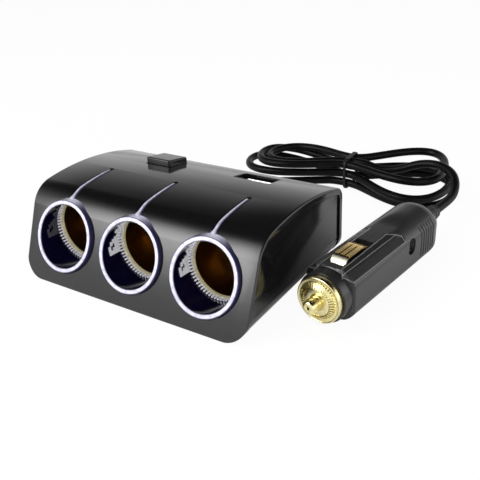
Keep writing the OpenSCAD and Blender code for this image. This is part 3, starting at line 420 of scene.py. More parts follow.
def lathe(outline, sides, place, bm=None):
    """Turns an outline of (radius, along) round an axis; place(x, y, along) puts it in the frame."""
    if bm is None:
        bm = bmesh.new()
    rings = []
    for r, s in outline:
        if r < 1e-6:
            rings.append([bm.verts.new(place(0, 0, s))])
        else:
            rings.append([bm.verts.new(place(r * cosd(360 * k / sides), r * sind(360 * k / sides), s))
                          for k in range(sides)])
    for a, b in zip(rings, rings[1:]):
        if len(a) == len(b):
            band(bm, a, b)
            continue
        for k in range(sides):
            n = (k + 1) % sides
            bm.faces.new((a[0], b[n], b[k]) if len(a) == 1 else (a[k], a[n], b[0]))
    for ring, flip in ((rings[0], True), (rings[-1], False)):
        if len(ring) > 1:
            bm.faces.new(list(reversed(ring)) if flip else ring)
    return bm


def rounded(w, d, r, steps=6):
    """Corner-rounded rectangle about the middle."""
    points = []
    for cx, cy, a in ((1, 1, 0), (-1, 1, 90), (-1, -1, 180), (1, -1, 270)):
        points += arc((cx * (w / 2 - r), cy * (d / 2 - r)), r, a, a + 90, steps)
    return points


MERGE, FINE = 0.0005, 0.00001  # usual merging distance, and one that keeps the smallest faces


def mesh_of(bm, name, merge=MERGE):
    """Merges a bmesh's double points, turns its faces outwards and makes it a mesh."""
    bmesh.ops.remove_doubles(bm, verts=bm.verts, dist=merge)
    bmesh.ops.recalc_face_normals(bm, faces=bm.faces)
    mesh = bpy.data.meshes.new(name)
    bm.to_mesh(mesh)
    bm.free()
    return mesh


def baked(piece):
    """The piece's mesh with its modifiers applied."""
    bpy.context.view_layer.update()
    return bpy.data.meshes.new_from_object(piece.evaluated_get(bpy.context.evaluated_depsgraph_get()))


def carved(name, base, cutters, mode="DIFFERENCE", solver="EXACT"):
    """The base mesh with every cutter mesh taken away, or kept in common, one after the other."""
    piece = link(name, base)
    helpers = []
    for i, cutter in enumerate(cutters):
        helper = link(f"{name}_cutter_{i}", cutter)
        cut = piece.modifiers.new(f"cut_{i}", "BOOLEAN")
        cut.operation, cut.solver, cut.object = mode, solver, helper
        helpers.append(helper)
    result = baked(piece)
    for spare in [piece, *helpers]:
        bpy.data.objects.remove(spare)
    return result


def present(name, shape, material, body, stands_for=(), sharp=30, merge=MERGE):
    """Brings a mesh or bmesh made in millimetres to the scene as a finished piece that rides on a body."""
    mesh = shape if isinstance(shape, bpy.types.Mesh) else mesh_of(shape, name, merge)
    mesh.transform(Matrix.Scale(MM, 4))
    mesh.materials.clear()
    mesh.name = name
    for face in mesh.polygons:
        face.use_smooth = True
        face.material_index = 0
    mesh.set_sharp_from_angle(angle=math.radians(sharp))
    piece = link(name, mesh, FINISHES[material])
    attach(piece, body)
    if stands_for:
        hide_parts(*stands_for)


def on_x(u, v, w):
    """Side view's frame: u from the front foot backwards, v up, w to the right."""
    return Vector((w, u - BODY_D / 2, v))


def on_y(u, v, w):
    """Front view's frame: u to the right, v up, w backwards."""
    return Vector((u, w, v))


def at_face(i):
    """Frame of a ring on the leaning front face: the third number stands out of the face."""
    c, s = cosd(90 - FACE_LEAN), sind(90 - FACE_LEAN)
    origin = Vector((i * PITCH, SOCKET_UP * FACE_DIR.x - BODY_D / 2, SOCKET_UP * FACE_DIR.y))
    return lambda x, y, z: origin + Vector((x, y * c - z * s, y * s + z * c))


MOUTH_PROUD = 0.4  # how far the sockets' origin stands out of the front face
MOUTH = Vector((0, SOCKET_UP * FACE_DIR.x - MOUTH_PROUD * FACE_IN.x - BODY_D / 2,
                SOCKET_UP * FACE_DIR.y - MOUTH_PROUD * FACE_IN.y))


def at_socket(i):
    """Frame of a socket: the third number is the depth behind the ring."""
    c, s = cosd(SOCKET_DIP), sind(SOCKET_DIP)
    origin = MOUTH + Vector((i * PITCH, 0, 0))
    return lambda x, y, d: origin + Vector((x, d * c + y * s, y * c - d * s))


def at_gland(x, y, s):
    """Frame of the gland: s backwards."""
    return Vector((GLAND[0] + x, s, GLAND[2] + y))


def outline_low(inset, low, high=40.0):
    """Front view of the sides and bottom, rounded below and open above."""
    half, r = BODY_W / 2 - inset, LOW_R - inset
    return ([Vector((-half, high))] + arc((r - half, low + r), r, 180, 270, 20)
            + arc((half - r, low + r), r, 270, 360, 20) + [Vector((half, high))])


THROUGH = (-60, 60)  # ends of a prism that reaches past the housing on both sides


def shell_block(name, set_back, inset, edge, steps=5):
    """The housing's solid with its ends set back and their edges rounded by drawing the section in."""
    bm = bmesh.new()
    half_width = BODY_W / 2 - set_back
    end = [(-half_width + edge * (1 - sind(90 * k / steps)), edge * (1 - cosd(90 * k / steps)))
           for k in range(steps, -1, -1)]
    rings = end + [(-x, drawn) for x, drawn in reversed(end)]
    loft(bm, [[on_x(p.x, p.y, x) for p in side_section(inset + drawn, 0)] for x, drawn in rings])
    ends = mesh_of(prism(outline_low(set_back, 0), *THROUGH, on_y), "ends")
    return carved(name, mesh_of(bm, "block"), [ends], "INTERSECT")


BUTTON = {"x": -18.7, "y": 19.4 + CREST_BACK - BODY_D / 2, "w": 11.8, "d": 11.2, "proud": 2.8}
PORT = {"x": 21.4, "y": 22.4 + CREST_BACK - BODY_D / 2, "w": 15.4, "d": 8.8}
SCREW_FRONT, SCREW_IN = 21 - BODY_D / 2, 9  # the front pair's place, the rear pair's distance from the sides
SCREWS = [(-PITCH / 2, SCREW_FRONT), (PITCH / 2, SCREW_FRONT), (SCREW_IN - BODY_W / 2, BODY_D / 2 - SCREW_IN),
          (BODY_W / 2 - SCREW_IN, BODY_D / 2 - SCREW_IN)]
TAIL_START, TAIL_END = 13.0, CREST_BACK + TAIL_W / 2


def over(hole):
    """Frame above the middle of an opening in the top."""
    return lambda x, y, z: Vector((hole["x"] + x, hole["y"] + y, z))


def flared_well(hole, r, gap, tilt, name):
    """Cutter for an opening in the top with a small chamfer at the skin."""
    top, floor, chamfer = skin_z(hole["y"] + BODY_D / 2), 15.0, 0.35
    bm = bmesh.new()
    loft(bm, [[over(hole)(p.x, p.y, z + (tilt * p.y if z > floor else 0))
               for p in rounded(hole["w"] + 2 * gap + 2 * grow, hole["d"] + 2 * gap + 2 * grow, r + grow)]
              for z, grow in ((floor, 0), (top - chamfer, 0), (top + 0.1, chamfer), (top + 4, chamfer))])
    return mesh_of(bm, name)


def tail_width(y):
    """Width of a light guide's tail at a distance behind the front foot."""
    share = (y - TAIL_START) / (TAIL_END - TAIL_START)
    return TAIL_W + (TAIL_TIP_W - TAIL_W) * min(1, max(0, share))


TAIL_SHARE = 0.66  # how much of its groove the tail fills
TAIL_STEP = 0.25
TAIL_FOOT = 28.2  # height on the brow from which the tail is drawn


def tail_groove(i, gap):
    """Cutter for the groove of a tail, 0.8 deep in the skin."""
    points = [Vector((s * (tail_width(y) / 2 + gap), y - BODY_D / 2)) for s, y in
              ((-1, TAIL_START - 3), (1, TAIL_START - 3), (1, TAIL_END))]
    points += arc((0, TAIL_END - BODY_D / 2), TAIL_TIP_W / 2 + 1.4 * gap, 0, 180, 12)
    strip = prism(points, 0, 60, lambda u, v, w: Vector((i * PITCH + u, v, w)))
    core = prism(side_section(0.8, 2), -6, 6, lambda u, v, w: Vector((i * PITCH + w, u - BODY_D / 2, v)))
    return carved("groove", mesh_of(strip, "strip"), [mesh_of(core, "core")])


def make_cover():
    """Front, top and back, with seats for the rings, grooves for their tails and the openings."""
    cutters = [mesh_of(prism(side_section(COVER_WALL, 2), *THROUGH, on_x), "inside")]
    seat_r, seat_low, bore_r, back = RING_OD / 2 + 0.12, -RING_SUNK - 0.05, 12.4, BODY_D / 2
    for i in (-1, 0, 1):
        seat = [(0, seat_low), (seat_r, seat_low), (seat_r, -0.15), (seat_r + 0.3, 0.15), (seat_r + 0.3, 9), (0, 9)]
        cutters.append(mesh_of(lathe(seat, 96, at_face(i)), "seat"))
        cutters.append(mesh_of(lathe([(0, -8), (bore_r, -8), (bore_r, 30), (0, 30)], 96, at_socket(i)), "bore"))
        cutters.append(tail_groove(i, 0.35))
    cutters += [flared_well(BUTTON, 1.0, 0.2, -0.13, "well"), flared_well(PORT, 0.6, 0.0, -0.15, "window")]
    hole = [(0, back - 4), (3.65, back - 4), (3.65, back - 0.3), (3.95, back + 0.1), (3.95, back + 2),
            (0, back + 2)]
    cutters.append(mesh_of(lathe(hole, 48, at_gland), "gland_hole"))
    body = shell_block("cover", 0, 0, 0.7)
    present("cover", carved("cover", body, cutters), "gloss_black", "splitter", ["top_cover"])


SIDE_SHOWN = 0.5  # how far the sides stand back from the cover's edges


def make_base():
    """Sides and bottom, set back from the cover's edges, with the sinks for the screws."""
    cutters = [mesh_of(prism(outline_low(SIDE_RECESS + SIDE_WALL, FLOOR_T), *THROUGH, on_y), "inside")]
    sink = [(0, -2), (2.5, -2), (2.5, 0.05), (2.2, 0.35), (2.2, 1.65), (1.2, 1.65), (1.2, 5), (0, 5)]
    for x, y in SCREWS:
        cutters.append(mesh_of(lathe(sink, 40, lambda u, v, s, x=x, y=y: Vector((x + u, y + v, s))), "screw_sink"))
    body = shell_block("base", SIDE_SHOWN, COVER_WALL + 0.1, 0.4)
    present("base", carved("base", body, cutters), "gloss_black", "splitter", ["base_housing"])


def mouth_depth(x, y, proud):
    """Depth at which a line along the socket's axis meets a plane that stands proud of the face."""
    normal = Vector((0, -FACE_IN.x, -FACE_IN.y))
    axis = Vector((0, cosd(SOCKET_DIP), -sind(SOCKET_DIP)))
    return (proud - (at_socket(0)(x, y, 0) - at_face(0)(0, 0, 0)).dot(normal)) / axis.dot(normal)


SHOULDER_AT, SHOULDER_GROW = 75, 0.9  # direction and share by which the ring swells at its shoulder


def socket_skin(i, outline, sides=96):
    """Ring round a socket. Points of the outline are ("face", radius, height over the face), ("bore",
    radius, height over the face) on a cylinder along the socket, ("deep", radius, depth), or
    ("shoulder", how much of the swelling, height over the face)."""
    rings = []
    for kind, r, at in outline:
        ring = []
        for k in range(sides):
            x, y = r * cosd(360 * k / sides), r * sind(360 * k / sides)
            if kind == "face":
                spot = at_face(i)(x, y, at)
            elif kind == "shoulder":
                swell = max(0, cosd(360 * k / sides - SHOULDER_AT)) ** 2
                grow = 1 + r * swell / (RING_OD / 2) * SHOULDER_GROW
                x, y = RING_OD / 2 * grow * x / r, RING_OD / 2 * grow * y / r
                spot = at_face(i)(x, y, at)
            else:
                spot = at_socket(i)(x, y, mouth_depth(x, y, at) if kind == "bore" else at)
            ring.append(spot)
        rings.append(ring)
    bm = bmesh.new()
    loft(bm, rings, joined=True)
    return bm


def make_guide(i, name):
    """Ring round the mouth, its shoulder on the brow and the tail that runs back over the top, with painted shade
    on the ring's walls and the tail's sides and a painted highlight on the outer wall at the tail's root.
    """
    outer, inner, top = RING_OD / 2, RING_ID / 2, RING_PROUD
    outline = [("bore", inner + 0.10, -RING_SUNK), ("face", inner + 0.12, top - 0.35),
               ("face", inner + 0.18, top - 0.14), ("face", inner + 0.32, top), ("face", outer - 0.78, top)]
    outline += [("face", p.x, p.y) for p in reversed(arc((outer - 0.45, top - 0.45), 0.45, 0, 90, 6))]
    outline += [("shoulder", 1.0, -0.9), ("face", outer, -0.95), ("face", outer, -RING_SUNK)]
    ring = mesh_of(socket_skin(i, outline), "ring")

    curve = evened([Vector((p.x, p.y, 0)) for p in side_section(0, 0)], TAIL_STEP)
    points = [p for p in curve if p.y > TAIL_FOOT and p.x < TAIL_END + TAIL_TIP_W / 2 - 1.0]
    rings, painted_shades = [], []
    total = len(points) - 1
    for j, p in enumerate(points):
        ahead, behind = points[min(j + 1, total)], points[max(j - 1, 0)]
        along = (ahead - behind).normalized()
        out = Vector((-along.y, along.x, 0))
        width = tail_width(p.x) * TAIL_SHARE / 2
        start = min(1.0, (j + 0.6) / 5)
        end = min(1.0, (total - j + 0.4) / (TAIL_TIP_W / 2 / TAIL_STEP + 1))
        swell = 1.0 + 1.1 * math.exp(-((j * TAIL_STEP - 1.2) / 1.3) ** 2)
        width *= swell * math.sqrt(max(0.05, start * (2 - start))) * math.sqrt(max(0.05, end * (2 - end)))
        proud = TAIL_PROUD * (1 + 1.6 * math.exp(-((j * TAIL_STEP - 1.6) / 1.3) ** 2))
        dome = [180 * k / 11 for k in range(12)]
        spots = [(width * cosd(a), p + out * (proud * sind(a) ** 0.8 * end)) for a in dome]
        spots += [(side * width, p - out * 0.7) for side in (-1, 1)]
        rings.append([Vector((i * PITCH + x, q.x - BODY_D / 2, q.y)) for x, q in spots])
        # Painted shade on the tail: its sides and underside dark, its top left light as a painted highlight.
        painted_shades += [0.15 + 0.75 * cosd(a) ** 2 for a in dome] + [1, 1]
    bm = bmesh.new()
    loft(bm, rings)
    bm.from_mesh(ring)
    middle = at_face(i)(0, 0, 0)
    across, outward = at_face(i)(0, 1, 0) - middle, at_face(i)(0, 0, 1) - middle
    # Painted shade and highlight kept as "rim": the ring is darker on its inner wall, its outer edge and below its
    # top face, and its outer wall is lighter near the tail's root.
    rim = bm.verts.layers.float.new("rim")
    for k, vertex in enumerate(bm.verts):
        if k < len(painted_shades):
            vertex[rim] = painted_shades[k]
            continue
        spot = vertex.co - middle
        radius, high = math.hypot(spot.x, spot.dot(across)), spot.dot(outward)
        edge = max((radius - outer + 0.46) / 0.2, (inner + 0.30 - radius) / 0.25, (top - 0.2 - high) / 0.3)
        vertex[rim] = min(1.0, max(0.0, edge))
        if radius > outer - 0.1:
            turn = math.degrees(math.atan2(spot.x, spot.dot(across)))
            vertex[rim] = 1 - 0.85 * math.exp(-((turn - 4) / 17) ** 2)
    present(f"guide_{name}", bm, "guide_plastic", "splitter", [f"light_guide_{name}"], sharp=40, merge=FINE)


def repeated(name, count, radius, size, tilt):
    """Bars set round a circle about the third axis by Geometry Nodes, as one mesh in millimetres."""
    group = bpy.data.node_groups.new(f"{name}_repeat", "GeometryNodeTree")
    values = {"Count": ("Int", count), "Radius": ("Float", radius), "Size": ("Vector", size),
              "Tilt": ("Float", math.radians(tilt))}
    ports = {label: group.interface.new_socket(label, in_out="INPUT", socket_type=f"NodeSocket{kind}").identifier
             for label, (kind, _) in values.items()}
    group.interface.new_socket("Bars", in_out="OUTPUT", socket_type="NodeSocketGeometry")
    given, result, circle, bar, place, parts, angle, turn, rotation, spread, real, paint = map(group.nodes.new, (
        "NodeGroupInput", "NodeGroupOutput", "GeometryNodeMeshCircle", "GeometryNodeMeshCube",
        "GeometryNodeInputPosition", "ShaderNodeSeparateXYZ", "ShaderNodeMath", "ShaderNodeCombineXYZ",
        "FunctionNodeEulerToRotation", "GeometryNodeInstanceOnPoints", "GeometryNodeRealizeInstances",
        "GeometryNodeSetMaterial"))
    angle.operation = "ARCTAN2"
    paint.inputs["Material"].default_value = FINISHES["bright_metal"]
    wire(group, (given, "Count", circle, "Vertices"), (given, "Radius", circle, "Radius"),
         (given, "Size", bar, "Size"), (place, "Position", parts, "Vector"), (parts, "Y", angle, 0),
         (parts, "X", angle, 1), (given, "Tilt", turn, "Y"), (angle, 0, turn, "Z"),
         (turn, "Vector", rotation, "Euler"), (circle, "Mesh", spread, "Points"), (bar, "Mesh", spread, "Instance"),
         (rotation, "Rotation", spread, "Rotation"), (spread, "Instances", real, "Geometry"),
         (real, "Geometry", paint, "Geometry"), (paint, "Geometry", result, "Bars"))
    holder = link(name, bpy.data.meshes.new(name))
    modifier = holder.modifiers.new("repeat", "NODES")
    modifier.node_group = group
    for label, (_, value) in values.items():
        modifier[ports[label]] = value
    mesh = baked(holder)
    holder.modifiers.remove(modifier)
    bpy.data.objects.remove(holder)
    return mesh


def set_in(bm, mesh, place):
    """Adds a mesh to another one, with its points put in a frame."""
    for vertex in mesh.vertices:
        vertex.co = place(*vertex.co)
    bm.from_mesh(mesh)


SLEEVE_R, BARREL_R = 11.6, 10.7


def make_socket(i, name):
    """Sleeve, barrel with its lip, toothed collar and centre contact."""
    deep = [("deep", r, d) for r, d in ((SLEEVE_R, 9.9), (11.25, 9.9), (11.25, 33.6), (12.0, 33.6), (12.0, 10.45),
                                        (12.3, 9.85))]
    bm = socket_skin(i, [("bore", SLEEVE_R - 0.05, -1.6), *deep, ("bore", 12.3, -1.6), ("bore", 11.66, -1.55),
                         ("face", 11.68, RING_PROUD - 0.3), ("face", 11.60, RING_PROUD - 0.3)])
    present(f"sleeve_{name}", bm, "sleeve_plastic", "splitter", [f"socket_sleeve_{name}"])

    wall = [(10.85, 9.85), (10.76, 10.1), (BARREL_R, 10.6), (BARREL_R, 27.5), (10.3, 27.6), (10.3, 35.3),
            (10.1, 35.5), (4.0, 35.5), (4.0, 36.0), (11.2, 36.0), (11.2, 10.3), (11.0, 10.0)]
    lip = [(11.5, 9.0), (11.4, 8.93), (11.15, 8.93), (11.08, 8.97), (10.97, 9.3), (10.80, 9.9), (10.95, 9.95),
           (11.19, 9.84), (11.54, 9.84), (11.54, 9.05)]
    rim = [(11.48, 8.55), (11.48, 8.88), (11.54, 8.88), (11.54, 8.55)]
    barrel, edge, bm = (socket_skin(i, [("deep", r, d) for r, d in outline]) for outline in (wall, lip, rim))
    present(f"barrel_{name}", barrel, "barrel_brass", "splitter", [f"socket_barrel_{name}"])
    present(f"lip_{name}", edge, "lip_gold", "splitter", ())
    teeth = repeated(f"teeth_{name}", 60, 11.22, (0.46, 0.60, 1.9), 0)
    set_in(bm, teeth, lambda x, y, z: at_socket(i)(x, y, 7.9 + z))
    present(f"teeth_{name}", bm, "tooth_metal", "splitter", [f"tooth_ring_{name}"], merge=FINE)

    outline = [(0, 27.9)] + [(p.x, p.y) for p in arc((2.4, 28.7), 0.8, 270, 360, 6)]
    outline += [(3.2, 29.8), (1.5, 29.8), (1.5, 39.95), (2.3, 39.95), (2.3, 40.95), (0, 40.95)]
    present(f"contact_{name}", lathe(outline, 48, at_socket(i)), "brass_plate", f"contact_{name}",
            [f"centre_contact_{name}"])


# A clip laid flat, its length downwards: # stands for metal and . for a stamped opening
CLIP_ROWS = ("............####",
             "..........##..##",
             ".........##..###",
             ".#..##..########",
             "################")
CLIP_FROM, CLIP_SPAN, CLIP_NEAR, CLIP_LONG = 134, 64, 1.7, 5.1  # round the sleeve in degrees, along it in mm


def make_clip(i, name):
    """Clip on the sleeve's wall, with stamped openings. The left one lies in shade, painted into a dark copy of the
    clip's finish.
    """
    bm = bmesh.new()
    columns, rows = len(CLIP_ROWS[0]), len(CLIP_ROWS)

    def corner(a, d, r):
        angle = CLIP_FROM + CLIP_SPAN * a / columns
        return at_socket(i)(r * cosd(angle), r * sind(angle), CLIP_NEAR + CLIP_LONG * d / rows)

    kept = {(a, d) for a in range(columns) for d in range(rows) if CLIP_ROWS[d][a] == "#"}
    inner, outer = 11.22, 11.5
    for a, d in sorted(kept):
        box = [[bm.verts.new(corner(a + da, d + dd, r)) for da, dd in ((0, 0), (1, 0), (1, 1), (0, 1))]
               for r in (inner, outer)]
        bm.faces.new(box[0])
        bm.faces.new(list(reversed(box[1])))
        for k, (sa, sd) in enumerate(((0, -1), (1, 0), (0, 1), (-1, 0))):
            if (a + sa, d + sd) not in kept:
                n = (k + 1) % 4
                bm.faces.new((box[0][k], box[1][k], box[1][n], box[0][n]))
    # The left clip takes the darker copy of the metal: painted shade.
    present(f"clip_{name}", bm, "clip_painted_shade" if name == "left" else "clip_metal", "splitter",
            [f"ground_clip_{name}"])


# The switch and the port

def make_button():
    """Square push button whose top follows the housing's curve, with its skirt and plunger below."""
    y0, w, d, up = (BUTTON[key] for key in ("y", "w", "d", "proud"))
    shelf = skin_z(y0 + BODY_D / 2 + d / 2 + 1, COVER_WALL) - 0.2
    bm = bmesh.new()

    def ring(draw, height, follow=True):
        return [over(BUTTON)(p.x, p.y, (skin_z(y0 + p.y + BODY_D / 2) if follow else 0) + height)
                for p in rounded(w - 2 * draw, d - 2 * draw, max(0.3, 1.0 - draw))]

    rings = [ring(0, shelf, False), ring(0, -0.5), ring(0, up - 0.7)]
    rings += [ring(0.6 * (1 - cosd(a)), up - 0.7 + 0.6 * sind(a)) for a in (22, 45, 67, 90)]
    rings += [ring(draw, up - 0.1) for draw in (1.2, 2.6, 4.2)]
    loft(bm, rings)
    loft(bm, [ring(-0.98, shelf - deep, False) for deep in (0, 1)])
    lathe([(0, 16.6), (1.6, 16.6), (1.6, shelf - 0.5), (0, shelf - 0.5)], 32, over(BUTTON), bm)
    present("button", bm, "button_black", "button", ["switch_button"])


def make_port():
    """Folded shell of the port with its sprung tongues, standing in the window."""
    x0, y0 = PORT["x"], PORT["y"]
    top = skin_z(y0 + BODY_D / 2 + PORT["d"] / 2) - 1.4
    bm = bmesh.new()

    low = 12.6
    loft(bm, [[over(PORT)(p.x, p.y, z) for p in rounded(w, d, r)] for w, d, r, z in (
        (13.1, 5.7, 0.6, low), (13.1, 5.7, 0.6, top - 0.35), (13.5, 6.1, 0.8, top - 0.08), (14.1, 6.7, 1.1, top),
        (14.1, 6.7, 1.1, top - 0.12), (12.9, 5.5, 0.4, top - 0.2), (12.5, 5.1, 0.3, top - 0.6),
        (12.5, 5.1, 0.3, low))], joined=True)
    for side in (-1, 1):
        for x in (-3.2, 3.2):
            start = y0 + side * 2.55
            outline = [(start, top - 0.9), (start - side * 0.75, top - 2.6), (start - side * 0.1, top - 4.6),
                       (start, top - 4.6), (start - side * 0.6, top - 2.6), (start + side * 0.02, top - 1.1)]
            loft(bm, [[Vector((x0 + x + dx, y, z)) for y, z in outline] for dx in (-1, 1)])
    present("usb_shell_bright", bm, "bright_metal", "splitter", ["usb_shell"], merge=FINE)


# Gland and strain relief

def boot_outline(start, long, r0, r1, count, gap):
    """Outline of a tapered boot with soft ring grooves."""
    points = []
    for k in range(count * 12 + 1):
        share = k / (count * 12)
        f = (share * count) % 1
        groove = math.exp(-((f - 0.5) / 0.15) ** 2)
        points.append((r0 + (r1 - r0) * share - gap * groove, start + long * share))
    return points


def make_gland():
    """Gland in the rear wall with a flange on each side and its boot."""
    back = BODY_D / 2
    inside = back - COVER_WALL - 0.1
    outline = [(0, inside - 1.2), (5.2, inside - 1.2), (5.2, inside), (3.6, inside), (3.6, back + 0.1),
               (4.9, back + 0.1), (5.2, back + 0.4), (5.1, back + 1.0), (3.6, back + 1.3)]
    outline += boot_outline(back + 1.3, 12.9, 3.4, 2.6, 4, 0.5) + [(0, back + 14.3)]
    present("gland", lathe(outline, 64, at_gland), "soft_black", "splitter", ["cord_gland"])


def in_plug(x, y, s):
    return plug_point(s, x, y)


def make_relief():
    """Strain relief clamped in the plug's rear end, with its boot."""
    outline = [(0, 64.75), (4.9, 64.75), (4.9, 65.95), (2.6, 65.95), (2.6, 71.1), (4.0, 71.15)]
    outline += boot_outline(71.3, 12.6, 4.2, 2.7, 5, 0.6) + [(0, 84.0)]
    present("relief", lathe(outline, 64, in_plug), "soft_black", "splitter", ["strain_relief"])


def make_tie():
    """Wire tie wound twice round the hank's waist, its ends twisted together on top."""
    half, low, high, corner = 7.1, 0.62, 14.38, 2.4
    points, loop = [], []
    for cx, cz, a in ((half - corner, high - corner, 0), (corner - half, high - corner, 90),
                      (corner - half, low + corner, 180), (half - corner, low + corner, 270)):
        loop += arc((cx, cz), corner, a, a + 90, 6)
    turns = 2
    for k in range(turns * len(loop) + 8):
        p = loop[k % len(loop)]
        points.append(Vector((-0.55 + 1.1 * k / (turns * len(loop)), p.x, p.y)))
    c, s = cosd(HANK["angle"]), sind(HANK["angle"])
    line = [Vector((HANK["x"] + p.x * c - p.y * s, HANK["y"] + p.x * s + p.y * c, p.z)) * MM for p in points]
    piece = tube("tie", softened(evened(line, 0.0004), 2), 0.42 * MM, 10, FINISHES["tie_black"])
    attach(piece, "splitter")
    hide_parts("twist_tie")


# The plug

PLUG_W, PLUG_H, GRIP_RISE, CORNER = 18.6, 18.8, 1.0, 1.0
BODY_FROM, NECK_END, BEND_AT, GRIP_AT = 7.8, 13, 46, 58.6
GRIP_BACK, GRIP_TAIL, END_SHARE = 64.6, 6.4, 0.6
SQUARENESS, PANEL_RAMP = 60, 0.35


def between(stations, s):
    """Value at s, eased from one station of (s, value) to the next."""
    for (a, va), (b, vb) in zip(stations, stations[1:]):
        if s <= b:
            f = max(0, (s - a) / (b - a))
            return va + (vb - va) * f * f * (3 - 2 * f)
    return stations[-1][1]


def plug_body(s, a):
    """Radius of the plug's body at a distance behind its tip, in a direction from its right side."""
    half_w, half_h = PLUG_W / 2, PLUG_H / 2
    along = (BODY_FROM, NECK_END, BEND_AT, GRIP_AT)
    wide = between(list(zip(along, (half_w, half_w, half_w * 0.975, half_w))), s)
    high = between(list(zip(along, (half_h, half_h * 0.975, half_h, half_h + GRIP_RISE))), s)
    corner = between([(BODY_FROM, half_w * 0.94), (12, half_w * 0.94), (12.5, half_h + CORNER * 0.975),
                      (BEND_AT, half_h + CORNER)], s)
    if s > GRIP_BACK:
        fall = END_SHARE + (1 - END_SHARE) * math.sqrt(max(0, 1 - ((s - GRIP_BACK) / GRIP_TAIL) ** 2))
        wide, high, corner = wide * fall, high * fall, corner * fall
    c, n = max(1e-6, abs(cosd(a))), max(1e-6, abs(sind(a)))
    return sum(v ** -SQUARENESS for v in (wide / c, high / n, corner)) ** (-1 / SQUARENESS)


def panel_bow(tilt):
    """Where the flat panel begins behind the tip, in a direction of tilt degrees from the plug's side."""
    return 10.8 + 0.9 * abs(tilt - 52) / 6


def panel_stern(tilt):
    """Where the flat panel ends."""
    return 45.6 - 4.4 * max(0, tilt - 48) / 20 - 0.4 * max(0, 48 - tilt) / 10


def plug_cut(tilt):
    """Distance from the plug's axis to the two flats that meet in its panel's ridge."""
    return min(9.87 / max(0.2, cosd(tilt - 64)), 9.97 / max(0.2, cosd(tilt - 52)))


def plug_radius(s, a):
    """Radius of the body with its flat panels cut on the upper side."""
    body = plug_body(s, a)
    if a <= 0:
        return body
    inside = min(1, max(0, (s - panel_bow(a)) / PANEL_RAMP)) * min(1, max(0, (panel_stern(a) - s) / PANEL_RAMP))
    return body + min(0, plug_cut(a) - body) * inside


RIB_FROM, RIB_STEP, RIB_COUNT, RIB_W, RIB_DEEP = 55.2, 1.72, 6, 0.75, 0.42
RIB_LOW, RIB_HIGH = -26, 47  # directions between which the grip's grooves lie


def rib_depth(s, a):
    """Depth of the grip's grooves."""
    if not RIB_LOW < a < RIB_HIGH or not RIB_FROM - 0.3 < s < RIB_FROM + RIB_COUNT * RIB_STEP:
        return 0
    edge = min(1, (a - RIB_LOW) / 3, (RIB_HIGH - a) / 3)
    f = (s - RIB_FROM) % RIB_STEP
    near = min(abs(f - RIB_W / 2), abs(f - RIB_W / 2 - RIB_STEP))
    return RIB_DEEP * edge * max(0, min(1, (RIB_W / 2 + 0.1 - near) / 0.2))


BODY_TO, SCREW_AT, SCREW_TILT, HALF_GAP = 71.0, 48.95, 17, 0.03


def plug_half(side, name):
    """Half of the plug's body, hollow, with pockets for the side contacts and the hole for the screw."""
    stations = []
    s = BODY_FROM
    while s < BODY_TO:
        stations.append(s)
        s += 0.2 if s < 14 else 0.5 if s < 40 else 0.3 if s < 54.6 else 0.15 if s < 65.6 else 0.25
    stations.append(BODY_TO)
    bm = bmesh.new()
    rings = []
    for s in stations:
        reach = [(plug_radius(s, a) - rib_depth(s, a), a) for a in (2.5 * k - 90 for k in range(73))]
        rings.append([plug_point(s, side * max(HALF_GAP, r * cosd(a)), r * sind(a)) for r, a in reach])
    loft(bm, rings)
    cutters = [mesh_of(lathe(outline, 64, in_plug), "bore") for outline in (
        [(0, 5), (6.05, 5), (6.05, 13), (3.35, 13), (3.35, 46.9), (0, 46.9)],
        [(0, 52), (5.0, 52), (5.0, 66), (2.65, 66), (2.65, 74), (0, 74)])]
    for up in (-1, 1):
        box = prism([(-3.0, 4.6), (3.0, 4.6), (3.0, 14), (-3.0, 14)], 14.8, 33.2,
                    lambda u, v, w, up=up: plug_point(w, u, up * v))
        cutters.append(mesh_of(box, "pocket"))
    c, n = cosd(SCREW_TILT), sind(SCREW_TILT)

    def in_hole(x, y, d):
        return plug_point(SCREW_AT + y, side * (d * c - x * n), d * n + x * c)

    if side > 0:
        cutters.append(mesh_of(prism(rounded(5.8, 4.4, 2.0), 6.6, 14, in_hole), "hole"))
    cutters.append(mesh_of(lathe([(0, -2), (1.05, -2), (1.05, 8), (0, 8)], 24, in_hole), "screw_hole"))
    mesh = carved(name, mesh_of(bm, name, FINE), cutters, solver="MANIFOLD")
    present(name, mesh, "plug_black", "splitter", [f"plug_shell_{name.split('_')[1]}"], sharp=25)


def bead(bm, points, radius):
    """Thin rounded bar along a line."""
    rings = []
    for j, p in enumerate(points):
        along = (points[min(j + 1, len(points) - 1)] - points[max(j - 1, 0)]).normalized()
        u = along.orthogonal().normalized()
        v = along.cross(u)
        if j:
            u = (before - along * before.dot(along)).normalized()
            v = along.cross(u)
        before = u
        rings.append([p + radius * (u * cosd(a) + v * sind(a)) for a in range(0, 360, 60)])
    loft(bm, rings)


